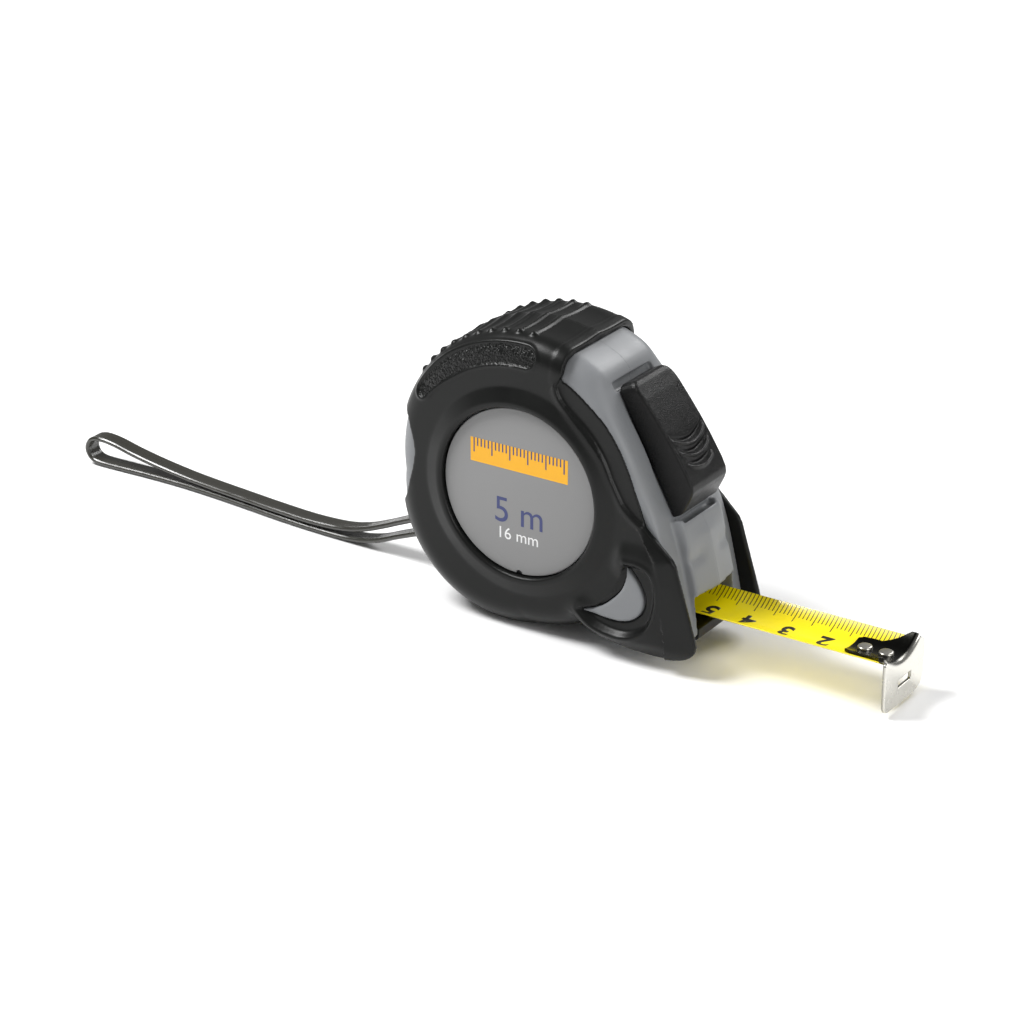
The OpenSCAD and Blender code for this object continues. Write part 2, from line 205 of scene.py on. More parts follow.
def round_edges(
    obj: bpy.types.Object,
    wanted: Callable[[Vector, Vector], bool],
    radius: float,
    segments: int = 4,
) -> None:
    """Bevel the wanted edges to a round.

    Args:
        obj: The object to edit.
        wanted: Takes an edge's two ends, in metres, and says whether to round it.
        radius: Radius of the round, in mm.
        segments: Number of faces across the round.
    """
    edit_edges(obj, wanted)
    bpy.ops.mesh.bevel(offset=radius * MM, segments=segments, profile=0.5, affect="EDGES")
    bpy.ops.object.mode_set(mode="OBJECT")


def drum(
    name: str,
    centre: Point2,
    radius: float,
    y_low: float,
    y_high: float,
    edge: float = 0.0,
    vertices: int = 192,
) -> bpy.types.Object:
    """A round body on an axis along Y, with a rounded edge on its -Y side.

    Args:
        name: Name of the new object.
        centre: The axis on the X-Z plane, in mm.
        radius: Its radius, in mm.
        y_low: Its -Y face, in mm.
        y_high: Its +Y face, in mm.
        edge: Radius of the rounded edge, in mm, or 0 for a sharp one.
        vertices: Number of points round it.

    Returns:
        The closed solid.
    """
    deselect()
    bpy.ops.mesh.primitive_cylinder_add(
        vertices=vertices,
        radius=radius * MM,
        depth=(y_high - y_low) * MM,
        location=(centre[0] * MM, (y_low + y_high) / 2 * MM, centre[1] * MM),
        rotation=(math.pi / 2, 0, 0),
    )
    obj = settle(bpy.context.object, name)
    if edge > 0:
        face = y_low * MM + 1e-6
        round_edges(obj, lambda a, b: a.y < face and b.y < face, edge, 10)
    return obj


def smooth_line(points: Sequence[Sequence[float]], per_span: int = 6) -> list[tuple[float, ...]]:
    """A smooth line through points, open at its ends.

    Args:
        points: The points, of any dimension.
        per_span: Number of steps between two points.

    Returns:
        The points of the smooth line, both ends included.
    """
    p = np.array(points, float)
    p = np.vstack([2 * p[0] - p[1], p, 2 * p[-1] - p[-2]])
    out = []
    for i in range(1, len(p) - 2):
        for step in range(per_span):
            t = step / per_span
            a = 2 * p[i]
            b = (p[i + 1] - p[i - 1]) * t
            c = (2 * p[i - 1] - 5 * p[i] + 4 * p[i + 1] - p[i + 2]) * t * t
            d = (3 * p[i] - p[i - 1] - 3 * p[i + 1] + p[i + 2]) * t**3
            out.append(tuple(0.5 * (a + b + c + d)))
    out.append(tuple(p[-2]))
    return out


def arc(centre: Point2, radius: float, start: float, end: float, steps: int) -> list[Point2]:
    """Points along a circular arc on the X-Z plane.

    Args:
        centre: The arc's centre, in mm.
        radius: Its radius, in mm.
        start: Angle of its first point, in degrees from +X towards +Z.
        end: Angle of its last point.
        steps: Number of steps between them.

    Returns:
        The points, both ends included.
    """
    angles = [math.radians(start + (end - start) * i / steps) for i in range(steps + 1)]
    return [(centre[0] + radius * math.cos(a), centre[1] + radius * math.sin(a)) for a in angles]


def flatten(obj: bpy.types.Object) -> None:
    """Press what stands past the mid-plane flat against it, for a crisp joint line."""
    at = points_of(obj)
    at[:, 1] = np.minimum(at[:, 1], -0.01)
    set_points(obj, at)


def mould(obj: bpy.types.Object, voxel: float, passes: int, keep: float = 1.0) -> None:
    """Give every edge the small round that a mould leaves.

    Args:
        obj: The closed solid.
        voxel: Size of the new mesh, in mm.
        passes: Number of smoothing passes.
        keep: Share of the triangles that is kept.
    """
    apply_modifier(obj, "REMESH", mode="VOXEL", voxel_size=voxel * MM)
    apply_modifier(obj, "SMOOTH", factor=0.5, iterations=passes)
    if keep < 1:
        apply_modifier(obj, "DECIMATE", ratio=keep)


def shade(obj: bpy.types.Object, angle: float = 40.0) -> None:
    """Shade smooth, with edges sharper than an angle in degrees kept crisp."""
    pick(obj)
    bpy.ops.object.shade_smooth_by_angle(angle=math.radians(angle))


def points_of(obj: bpy.types.Object) -> np.ndarray:
    """Read a mesh's points.

    Args:
        obj: The object whose mesh is read.

    Returns:
        One row of x, y and z for each point, in mm.
    """
    flat = np.zeros(len(obj.data.vertices) * 3, np.float32)
    obj.data.vertices.foreach_get("co", flat)
    return flat.reshape(-1, 3).astype(float) / MM


def set_points(obj: bpy.types.Object, points: np.ndarray) -> None:
    """Write the mesh's points back, from mm."""
    obj.data.vertices.foreach_set("co", (points * MM).astype(np.float32).ravel())
    obj.data.update()


def ramp(values: np.ndarray, low: float, high: float) -> np.ndarray:
    """A smooth step from 0 at low to 1 at high."""
    t = np.clip((values - low) / (high - low), 0, 1)
    return t * t * (3 - 2 * t)


def twin(obj: bpy.types.Object) -> bpy.types.Object:
    """Copy a piece, with a mesh of its own.

    Args:
        obj: The piece to copy.

    Returns:
        The copy.
    """
    copy = obj.copy()
    copy.data = obj.data.copy()
    bpy.context.scene.collection.objects.link(copy)
    return copy


def mirror(obj: bpy.types.Object) -> None:
    """Mirror a piece to the other side of the mid-plane, with its faces outwards.

    Args:
        obj: The piece, which is changed in place.
    """
    obj.data.transform(Matrix.Scale(-1, 4, (0, 1, 0)))
    obj.data.flip_normals()


def to_line(x: np.ndarray, z: np.ndarray, line: Sequence[Point2]) -> np.ndarray:
    """Distance from points to a line of several stretches.

    Args:
        x: The points' places along X, in mm.
        z: Their heights, in mm.
        line: The line's corners, in mm.

    Returns:
        The shortest distance for each point, in mm.
    """
    best = np.full(x.shape, 1e9)
    for (ax, az), (bx, bz) in zip(line[:-1], line[1:]):
        dx, dz = bx - ax, bz - az
        t = np.clip(((x - ax) * dx + (z - az) * dz) / (dx * dx + dz * dz), 0, 1)
        best = np.minimum(best, np.hypot(x - ax - t * dx, z - az - t * dz))
    return best


def inside(x: np.ndarray, z: np.ndarray, loop: Sequence[Point2]) -> np.ndarray:
    """Find which points lie inside a closed outline.

    Args:
        x: The points' places along X, in mm.
        z: Their heights, in mm.
        loop: The outline's corners, in mm.

    Returns:
        True for each point that lies inside.
    """
    hit = np.zeros(x.shape, bool)
    for (ax, az), (bx, bz) in zip(loop, [*loop[1:], loop[0]]):
        if az == bz:
            continue
        crosses = (z < az) != (z < bz)
        hit ^= crosses & (x < (bx - ax) * (z - az) / (bz - az) + ax)
    return hit


# --------------------------------------------------------------------------- finishes


def linear(hex_colour: str) -> tuple[float, float, float, float]:
    """Turn an sRGB hex colour into the linear colour that a shader takes.

    Args:
        hex_colour: The colour as "#rrggbb".

    Returns:
        Red, green, blue and alpha, from 0 to 1.
    """
    parts = [int(hex_colour[i : i + 2], 16) / 255 for i in (1, 3, 5)]
    flat = [c / 12.92 if c <= 0.04045 else ((c + 0.055) / 1.055) ** 2.4 for c in parts]
    return (*flat, 1.0)


def per_metre(size_mm: float) -> float:
    """Scale of a pattern on Object coordinates whose features are that many mm apart."""
    return 1.0 / (size_mm * MM)


def add_node(
    tree: bpy.types.NodeTree,
    kind: str,
    settings: dict[str, object] | None = None,
    **inputs: object,
) -> bpy.types.Node:
    """Add a node, set its properties and inputs, and link what is a socket.

    Args:
        tree: The node tree.
        kind: The node's type, such as "ShaderNodeTexNoise".
        settings: The node's own properties.
        **inputs: Input values or sockets, by input name with _ for spaces, or as i0, i1.

    Returns:
        The new node.
    """
    node = tree.nodes.new(kind)
    for key, value in (settings or {}).items():
        setattr(node, key, value)
    for key, value in inputs.items():
        numbered = key[0] == "i" and key[1:].isdigit()
        socket = node.inputs[int(key[1:])] if numbered else node.inputs[key.replace("_", " ")]
        if isinstance(value, bpy.types.NodeSocket):
            tree.links.new(value, socket)
        else:
            socket.default_value = value
    return node


@dataclass(frozen=True)
class Finish:
    """A surface finish: a base colour and gloss, which each kind refines."""

    name: str
    colour: str
    roughness: float
    metallic: float = 0.0
    coat: float = 0.0
    specular: float = 0.5

    def start(self) -> tuple[bpy.types.Material, bpy.types.NodeTree, bpy.types.Node]:
        """Make the material with its shader.

        Returns:
            The material, its tree and its main shader node.
        """
        material = bpy.data.materials.new(self.name)
        material.use_nodes = True
        tree = material.node_tree
        tree.nodes.clear()
        shader = add_node(
            tree,
            "ShaderNodeBsdfPrincipled",
            Base_Color=linear(self.colour),
            Roughness=self.roughness,
            Metallic=self.metallic,
            Coat_Weight=self.coat,
            Coat_Roughness=0.08,
            Specular_IOR_Level=self.specular,
        )
        add_node(tree, "ShaderNodeOutputMaterial", Surface=shader.outputs[0])
        return material, tree, shader

    def place(self, tree: bpy.types.NodeTree) -> bpy.types.NodeSocket:
        """The Object coordinates, in metres."""
        return add_node(tree, "ShaderNodeTexCoord").outputs["Object"]

    def tint(
        self, tree: bpy.types.NodeTree, shader: bpy.types.Node, share: bpy.types.NodeSocket, dark: str
    ) -> None:
        """Let the base colour run from another shade to the finish's own.

        Args:
            tree: The material's node tree.
            shader: Its main shader.
            share: How much of the finish's own colour shows.
            dark: The other shade.
        """
        mix = add_node(tree, "ShaderNodeMix", {"data_type": "RGBA"}, Factor=share,
                       i6=linear(dark), i7=linear(self.colour))
        tree.links.new(mix.outputs[2], shader.inputs["Base Color"])

    def swing_gloss(
        self, tree: bpy.types.NodeTree, shader: bpy.types.Node, pattern: bpy.types.Node,
        low: float, high: float,
    ) -> None:
        """Let the roughness follow the middle of a noise pattern.

        Args:
            tree: The material's node tree.
            shader: Its main shader.
            pattern: The noise node.
            low: Roughness where the pattern is low.
            high: Roughness where it is high.
        """
        gloss = add_node(tree, "ShaderNodeMapRange", Value=pattern.outputs["Fac"],
                         From_Min=0.3, From_Max=0.7, To_Min=low, To_Max=high)
        tree.links.new(gloss.outputs[0], shader.inputs["Roughness"])

    def press(
        self, tree: bpy.types.NodeTree, shader: bpy.types.Node, height: bpy.types.NodeSocket,
        depth: float, settings: dict[str, object] | None = None, **more: object,
    ) -> bpy.types.Node:
        """Press a pattern into the surface.

        Args:
            tree: The material's node tree.
            shader: Its main shader.
            height: The pattern.
            depth: Its depth, in mm.
            settings: The bump node's own properties.
            **more: Its other inputs.

        Returns:
            The bump node.
        """
        bump = add_node(tree, "ShaderNodeBump", settings, Strength=1.0, Distance=depth * MM,
                        Height=height, **more)
        tree.links.new(bump.outputs[0], shader.inputs["Normal"])
        return bump

    def build(self) -> bpy.types.Material:
        """Make the whole material."""
        return self.start()[0]


@dataclass(frozen=True)
class Moulded(Finish):
    """Moulded plastic or rubber: an eroded grain, with faint blotches in colour and gloss."""

    dark: str = "#808080"
    grain: float = 0.3
    depth: float = 0.02
    blotch: float = 9.0
    gloss_swing: float = 0.06

    def build(self) -> bpy.types.Material:
        """Make the moulded material."""
        material, tree, shader = self.start()
        self.dress(tree, shader)
        return material

    def dress(self, tree: bpy.types.NodeTree, shader: bpy.types.Node) -> bpy.types.Node:
        """Add the grain and the blotches.

        Args:
            tree: The material's node tree.
            shader: Its main shader.

        Returns:
            The bump node that feeds the shader's normal.
        """
        place = self.place(tree)
        blotch = add_node(tree, "ShaderNodeTexNoise", Vector=place, Scale=per_metre(self.blotch),
                          Detail=4.0, Roughness=0.6)
        self.tint(tree, shader, blotch.outputs["Fac"], self.dark)
        low, high = self.roughness - self.gloss_swing, self.roughness + self.gloss_swing
        self.swing_gloss(tree, shader, blotch, low, high)
        grain = add_node(tree, "ShaderNodeTexNoise", Vector=place, Scale=per_metre(self.grain),
                         Detail=2.0, Roughness=0.5)
        return self.press(tree, shader, grain.outputs["Fac"], self.depth)


@dataclass(frozen=True)
class PaddedRubber(Moulded):
    """The grip's rubber: smooth satin, with a leathery worm pattern where "pad" is 1."""

    worm: float = 0.62
    worm_depth: float = 0.3
    warp: float = 1.1

    def build(self) -> bpy.types.Material:
        """Make the rubber with its textured pad.

        Returns:
            The finished material.
        """
        material, tree, shader = self.start()
        bump = self.dress(tree, shader)
        place = self.place(tree)
        warp = add_node(tree, "ShaderNodeTexNoise", Vector=place, Scale=per_metre(self.warp), Detail=1.0)
        push = add_node(tree, "ShaderNodeVectorMath", {"operation": "MULTIPLY_ADD"},
                        i0=warp.outputs["Color"], i1=(self.warp * MM,) * 3, i2=place)
        cells = add_node(tree, "ShaderNodeTexVoronoi", {"feature": "SMOOTH_F1"},
                         Vector=push.outputs[0], Scale=per_metre(self.worm), Smoothness=0.35)
        pad = add_node(tree, "ShaderNodeAttribute", {"attribute_name": "pad"})
        height = add_node(tree, "ShaderNodeMath", {"operation": "MULTIPLY"},
                          i0=cells.outputs["Distance"], i1=pad.outputs["Fac"])
        self.press(tree, shader, height.outputs[0], self.worm_depth, {"invert": True},
                   Normal=bump.outputs[0])
        return material


@dataclass(frozen=True)
class Metal(Finish):
    """Plated or polished metal: a fine brushing along one axis, with a soft waviness."""

    brush: float = 0.12
    stretch: Point3 = (1.0, 0.08, 1.0)
    depth: float = 0.004
    wave: float = 3.0

    def build(self) -> bpy.types.Material:
        """Make the metal.

        Returns:
            The finished material.
        """
        material, tree, shader = self.start()
        place = self.place(tree)
        drawn = add_node(tree, "ShaderNodeMapping", Vector=place, Scale=tuple(self.stretch))
        brush = add_node(tree, "ShaderNodeTexNoise", Vector=drawn.outputs[0],
                         Scale=per_metre(self.brush), Detail=2.0)
        wave = add_node(tree, "ShaderNodeTexNoise", Vector=place, Scale=per_metre(self.wave), Detail=2.0)
        self.swing_gloss(tree, shader, wave, self.roughness * 0.8, self.roughness * 1.3)
        self.press(tree, shader, brush.outputs["Fac"], self.depth)
        return material


@dataclass(frozen=True)
class TonedMetal(Metal):
    """Bright plate whose tang, behind the bend, carries a painted reflection: its base colour turns dark
    there.
    """

    # colour of the painted reflection that the tang takes
    tone: str = "#1b1b19"
    bend_x: float = 92.8
    reach: tuple[float, float] = (-0.5, 0.6)

    def build(self) -> bpy.types.Material:
        """Make the metal with its tang painted dark as a reflection.

        Returns:
            The finished material.
        """
        material = super().build()
        tree = material.node_tree
        shader = next(n for n in tree.nodes if n.bl_idname == "ShaderNodeBsdfPrincipled")
        axes = add_node(tree, "ShaderNodeSeparateXYZ", Vector=self.place(tree))
        # painted reflection: behind the bend the base colour runs to the dark tone
        unreflected_share = add_node(tree, "ShaderNodeMapRange", Value=axes.outputs[0],
                          From_Min=(self.bend_x + self.reach[0]) * MM,
                          From_Max=(self.bend_x + self.reach[1]) * MM)
        self.tint(tree, shader, unreflected_share.outputs[0], self.tone)
        return material


@dataclass(frozen=True)
class PrintedBlade(Finish):
    """Yellow lacquered steel strip with a black millimetre scale along its +Y edge."""

    ink: str = "#15150f"
    shade: str = "#f6de00"
    peel_depth: float = 0.004
    zero_x: float = 92.5
    edge_y: float = 7.85
    line_width: float = 0.23
    lengths: tuple[float, float, float] = (2.8, 3.95, 4.3)

    def build(self) -> bpy.types.Material:
        """Make the lacquer with its scale.

        Returns:
            The finished material.
        """
        material, tree, shader = self.start()
        place = self.place(tree)
        axes = add_node(tree, "ShaderNodeSeparateXYZ", Vector=place)
        reach, along = (
            add_node(tree, "ShaderNodeMath", {"operation": "MULTIPLY_ADD"},
                     i0=axes.outputs[axis], i1=-1 / MM, i2=start).outputs[0]
            for axis, start in ((1, self.edge_y), (0, self.zero_x))
        )
        marks = None
        for pitch, length in zip((1.0, 5.0, 10.0), self.lengths):
            marks = self.ticks(tree, along, reach, pitch, length, marks)
        tone = add_node(tree, "ShaderNodeTexNoise", Vector=place, Scale=per_metre(14.0), Detail=3.0)
        lacquer = add_node(tree, "ShaderNodeMix", {"data_type": "RGBA"}, Factor=tone.outputs["Fac"],
                           i6=linear(self.shade), i7=linear(self.colour))
        inked = add_node(tree, "ShaderNodeMix", {"data_type": "RGBA"}, Factor=marks,
                         i6=lacquer.outputs[2], i7=linear(self.ink))
        tree.links.new(inked.outputs[2], shader.inputs["Base Color"])
        peel = add_node(tree, "ShaderNodeTexNoise", Vector=place, Scale=per_metre(0.9), Detail=1.0)
        self.press(tree, shader, peel.outputs["Fac"], self.peel_depth)
        return material

    def ticks(
        self,
        tree: bpy.types.NodeTree,
        along: bpy.types.NodeSocket,
        reach: bpy.types.NodeSocket,
        pitch: float,
        length: float,
        before: bpy.types.NodeSocket | None,
    ) -> bpy.types.NodeSocket:
        """One row of marks, joined with the rows before it.

        Args:
            tree: The node tree.
            along: Distance from the hook, in mm.
            reach: Distance from the blade's edge, in mm.
            pitch: Distance between marks, in mm.
            length: Length of a mark, in mm.
            before: The rows that are already there.

        Returns:
            A socket that is 1 on a mark.
        """
        apart = add_node(tree, "ShaderNodeMath", {"operation": "PINGPONG"}, i0=along, i1=pitch / 2)
        thin = add_node(tree, "ShaderNodeMath", {"operation": "LESS_THAN"},
                        i0=apart.outputs[0], i1=self.line_width / 2)
        short = add_node(tree, "ShaderNodeMath", {"operation": "LESS_THAN"}, i0=reach, i1=length)
        row = add_node(tree, "ShaderNodeMath", {"operation": "MULTIPLY"},
                       i0=thin.outputs[0], i1=short.outputs[0]).outputs[0]
        if before is None:
            return row
        return add_node(tree, "ShaderNodeMath", {"operation": "MAXIMUM"}, i0=row, i1=before).outputs[0]


@dataclass(frozen=True)
class GroovedStrap(Finish):
    """Glossy flat cord: fine grooves along its length, read from its own UV map."""

    grooves: float = 9.0
    groove_depth: float = 0.9

    def build(self) -> bpy.types.Material:
        """Make the cord's finish.

        Returns:
            The finished material.
        """
        material, tree, shader = self.start()
        uv = add_node(tree, "ShaderNodeUVMap", {"uv_map": "strap"})
        split = add_node(tree, "ShaderNodeSeparateXYZ", Vector=uv.outputs[0])
        wave = add_node(tree, "ShaderNodeMath", {"operation": "PINGPONG"},
                        i0=split.outputs[0], i1=0.5 / self.grooves)
        self.press(tree, shader, wave.outputs[0], self.groove_depth)
        tone = add_node(tree, "ShaderNodeTexNoise", Vector=self.place(tree), Scale=per_metre(5.0),
                        Detail=3.0)
        self.swing_gloss(tree, shader, tone, self.roughness - 0.06, self.roughness + 0.1)
        return material


class Look(Enum):
    """The finishes of the object's pieces."""

    # Moulded ABS, eroded mould: even grey with a soft sheen
    ABS = Moulded("abs_moulded_grey", "#7d7f81", 0.44, dark="#75777a", grain=0.28, depth=0.012)
    # Thermoplastic rubber over the case: near black, satin, a little warm
    RUBBER = PaddedRubber("rubber_moulded_black", "#101110", 0.34, dark="#0b0c0b", grain=0.35,
                          depth=0.01, specular=0.24)
    # Textured black ABS of the lock: sparkling coarse grain
    LOCK = Moulded("abs_grained_black", "#0b0b0b", 0.33, specular=0.26, dark="#070707",
                   grain=0.24, depth=0.1, blotch=5.0)
    # Pad-printed disc of the label: flat mid grey, matt
    DISC = Moulded("label_disc_grey", "#888888", 0.6, dark="#848484", grain=0.5, depth=0.004)
    # Lacquered steel strip: strong yellow under a clear coat, with a highlight along its hollow
    BLADE = PrintedBlade("blade_lacquer_yellow", "#fdea00", 0.32, coat=0.4)
    # Black scale ink, and the three inks of the label: flat and even, with no grain to be seen
    INK = Moulded("scale_ink_black", "#14140f", 0.45, dark="#10100c", depth=0.002)
    NAVY = Moulded("print_ink_navy", "#3b4374", 0.5, dark="#363d6b", depth=0.002)
    AMBER = Moulded("print_ink_amber", "#f2b21c", 0.5, dark="#eaa810", depth=0.002)
    WHITE = Moulded("print_ink_white", "#ececec", 0.5, dark="#e2e2e2", depth=0.002)
    # Nickel-chrome plated sheet: bright with soft waviness; its tang carries a painted dark reflection
    CHROME = TonedMetal("hook_nickel_chrome", "#dcdad2", 0.24, metallic=1.0)
    # Nickel-plated rivets: a little darker and duller than the hook
    RIVET = Metal("rivet_nickel", "#b5b3ab", 0.28, metallic=1.0)
    # Zinc-plated steel: pale grey with a broad soft highlight
    ZINC = Metal("screw_zinc_plate", "#b9bcc0", 0.3, metallic=1.0, brush=0.2)
    # Blued spring strip: dark blue-grey sheen
    SPRING = Metal("spring_blued_strip", "#5f6c7a", 0.32, metallic=1.0)
    # Moulded acetal: milky and slightly shiny
    ACETAL = Moulded("acetal_moulded_white", "#e3e0d6", 0.36, dark="#d9d6cb", depth=0.006)
    # Flat plastic cord: brown-black, glossy, with long thin highlights in its grooves
    STRAP = GroovedStrap("strap_flat_black", "#2b2a24", 0.2, specular=0.7, coat=0.3)

    def material(self) -> bpy.types.Material:
        """The finish's material, made when it is first asked for."""
        found = bpy.data.materials.get(self.value.name)
        return found or self.value.build()


def dress(
    obj: bpy.types.Object, look: Look, body: str, replaces: Iterable[str] = ()
) -> bpy.types.Object:
    """Give a piece its finish, its body and the CAD nodes that it stands for.

    Args:
        obj: The piece.
        look: Its finish.
        body: The CAD body that it rides on.
        replaces: The CAD nodes that it stands for.

    Returns:
        The same piece.
    """
    obj.data.materials.clear()
    obj.data.materials.append(look.material())
    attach(obj, body)
    if replaces:
        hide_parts(*replaces)
    LOG.info("%s: %d faces, %s", obj.name, len(obj.data.polygons), look.value.name)
    return obj


# --------------------------------------------------------------------------- studio


@dataclass
class Studio:
    """Camera, lights and floor."""

    location: Point3 = (0.38662, -0.60369, 0.34539)
    turn: float = 33.478
    tilt: float = 24.080
    lens: float = 115.87
    sky: float = 0.27
    lamps: tuple[tuple[str, Point3, float, float], ...] = (
        ("key", (-0.45, -0.25, 0.75), 0.35, 9.0),
        ("fill", (0.85, -0.15, 0.4), 0.5, 3.4),
        ("rim", (0.15, 0.7, 0.6), 0.4, 4.0),
    )

    def build(self) -> None:
        """Make the camera, the lights and the floor."""
        self.camera()
        self.floor()
        for lamp in self.lamps:
            self.light(*lamp)
        world = bpy.data.worlds.new("studio")
        bpy.context.scene.world = world
        world.use_nodes = True
        background = world.node_tree.nodes["Background"]
        background.inputs[0].default_value = (1, 1, 1, 1)
        background.inputs[1].default_value = self.sky
        bpy.context.scene.view_settings.view_transform = "Standard"

    def camera(self) -> None:
        """Place the camera."""
        data = bpy.data.cameras.new("camera")
        data.lens = self.lens
        data.clip_start, data.clip_end = 0.01, 20
        camera = bpy.data.objects.new("camera", data)
        bpy.context.scene.collection.objects.link(camera)
        camera.location = self.location
        camera.rotation_euler = (math.radians(90 - self.tilt), 0, math.radians(self.turn))
        bpy.context.scene.camera = camera

    def floor(self) -> None:
        """Lay the pale floor."""
        deselect()
        bpy.ops.mesh.primitive_plane_add(size=8, location=(0, 0, -0.0001))
        floor = settle(bpy.context.object, "floor")
        finish = Finish("floor_white", "#fbfbfb", 0.9)
        floor.data.materials.append(finish.build())

    def light(self, name: str, place: Point3, size: float, power: float) -> None:
        """Hang one square light that faces the object.

        Args:
            name: Its name.
            place: Where it hangs, in metres.
            size: Length of its side, in metres.
            power: Its power, in watts.
        """
        data = bpy.data.lights.new(name, "AREA")
        data.size, data.energy = size, power
        lamp = bpy.data.objects.new(name, data)
        bpy.context.scene.collection.objects.link(lamp)
        lamp.location = place
        aim = Vector((0.0, 0.0, 0.035)) - Vector(place)
        lamp.rotation_euler = aim.to_track_quat("-Z", "Y").to_euler()


# --------------------------------------------------------------------------- strap


@dataclass
class WristStrap:
    """Closed loop of flat cord over the bar in the rear corner."""

    width: float = 5.0
    thick: float = 1.3
    route: tuple[Point3, ...] = (
        (-24.6, 0, 14.4), (-25, 0, 15.3), (-26.6, 0, 16), (-30, 0.3, 15.9), (-35, 1.2, 14.8),
        (-41, 2.4, 12.7), (-47, 3.4, 10), (-53, 4.1, 7.2), (-59, 4.5, 4.8), (-66, 4.7, 3.2),
        (-76, 4.9, 2.6), (-88, 5.8, 2.5), (-100, 7, 2.5), (-111, 8, 2.6), (-120, 8.6, 3),
        (-129, 8.8, 4), (-137, 8.7, 5.4), (-143, 8.4, 6.9), (-147.5, 8.2, 7.4),
        (-150.4, 8, 6.6), (-151.6, 7.9, 4.2), (-150.4, 7.8, 1.8), (-147.5, 7.8, 0.9),
        (-141, 8, 0.8), (-131, 8.4, 0.8), (-120, 8.4, 0.8), (-109, 7.8, 0.8), (-98, 6.8, 0.8),
        (-86, 5.6, 0.8), (-74, 4.9, 0.8), (-63, 4.6, 1.1), (-55, 4.2, 2.8), (-48, 3.5, 5.8),
        (-41, 2.4, 8.8), (-35, 1.2, 11), (-30, 0.3, 12), (-26.6, 0, 12), (-25, 0, 12.7),
        (-24.6, 0, 13.6),
    )

    def build(self) -> None:
        """Sweep the strap's section along its route."""
        line = np.array(smooth_line(self.route, 5))
        section = self.section()
        around = len(section)
        heading = np.gradient(line, axis=0)
        heading /= np.linalg.norm(heading, axis=1)[:, None]
        across = np.array([0.0, 1.0, 0.0])
        facing = np.cross(heading, across)
        facing /= np.linalg.norm(facing, axis=1)[:, None]
        rows = [line[i] + q[0] * across + q[1] * facing[i] for i in range(len(line)) for q in section]
        deselect()
        bpy.ops.mesh.primitive_grid_add(x_subdivisions=around, y_subdivisions=len(line) - 1, size=1)
        obj = bpy.context.object
        ring = around + 1
        wrapped = [rows[i * around + k % around] for i in range(len(line)) for k in range(ring)]
        set_points(obj, np.array(wrapped))
        self.map_uv(obj, ring)
        pick(obj)
        bpy.ops.object.mode_set(mode="EDIT")
        bpy.ops.mesh.select_all(action="SELECT")
        bpy.ops.mesh.remove_doubles(threshold=SAME_PLACE)
        bpy.ops.mesh.select_all(action="DESELECT")
        bpy.ops.mesh.select_non_manifold(extend=False)
        bpy.ops.mesh.fill()
        face_outwards()
        settle(obj, "strap_loop")
        shade(obj)
        dress(obj, Look.STRAP, "case", ["wrist_strap"])

    def section(self) -> list[Point2]:
        """The strap's cross-section: flat, with round sides and shallow grooves.

        Returns:
            Points as (across, up), in mm.
        """
        half, high = self.width / 2, self.thick / 2
        side = arc((half - high, 0), high, -90, 90, 6)
        top = [(half - high - 0.4 - i * (2 * half - 2 * high - 0.8) / 8, high) for i in range(9)]
        top = [(y, z - (0.1 if i % 2 else 0.0)) for i, (y, z) in enumerate(top)]
        upper = side + top
        return upper + [(-y, -z) for y, z in upper]

    def map_uv(self, obj: bpy.types.Object, ring: int) -> None:
        """Lay out a UV map: U across the flat, V along the strap.

        Args:
            obj: The strap's grid.
            ring: Number of points in one row.
        """
        layer = obj.data.uv_layers.new(name="strap")
        section = self.section()
        for loop in obj.data.loops:
            k = loop.vertex_index % ring
            row = loop.vertex_index // ring
            layer.data[loop.index].uv = (section[k % len(section)][0] / self.width, row * 0.1)


# --------------------------------------------------------------------------- case


@dataclass
class Body:
    """Driving sizes that the shells, the grip and the lock share, in mm."""

    axis: Point2 = (0.0, 38.0)
    shell_r: float = 35.6
    corner: Point2 = (-6.0, 30.2)
    corner_r: float = 29.4
    half_width: float = 15.0
    edge: float = 4.8
    skin: float = 1.2
    lean: float = 28.5
    label: Point2 = (0.0, 36.0)
    label_r: float = 20.9
    seam: float = 0.45

    def slope(self, s: float, n: float) -> Point2:
        """A point of the front slope on the X-Z plane.

        Args:
            s: Distance down the slope, in mm.
            n: Distance out from the spool axis, in mm.

        Returns:
            The point as (x, z), in mm.
        """
        c, k = self.out()
        return (n * c + s * k, self.axis[1] + n * k - s * c)

    def out(self) -> Point2:
        """Straight out from the front slope: cosine and sine of its lean."""
        return (math.cos(math.radians(self.lean)), math.sin(math.radians(self.lean)))

    def crescent(self) -> list[Point2]:
        """Outline of the crescent window in the front cheek."""
        outer = smooth_line([(16.9, 10.4), (20.5, 10.2), (25.3, 9.8), (29.0, 10.2), (31.7, 11.4),
                             (33.9, 13.8), (34.6, 17.3), (32.8, 21.2), (29.8, 24.7)], 5)
        inner = smooth_line([(29.8, 24.7), (29.4, 21.2), (27.8, 17.6), (23.9, 13.6),
                             (20.5, 11.7), (16.9, 10.4)], 5)
        return outer + inner[1:-1]


BODY = Body()


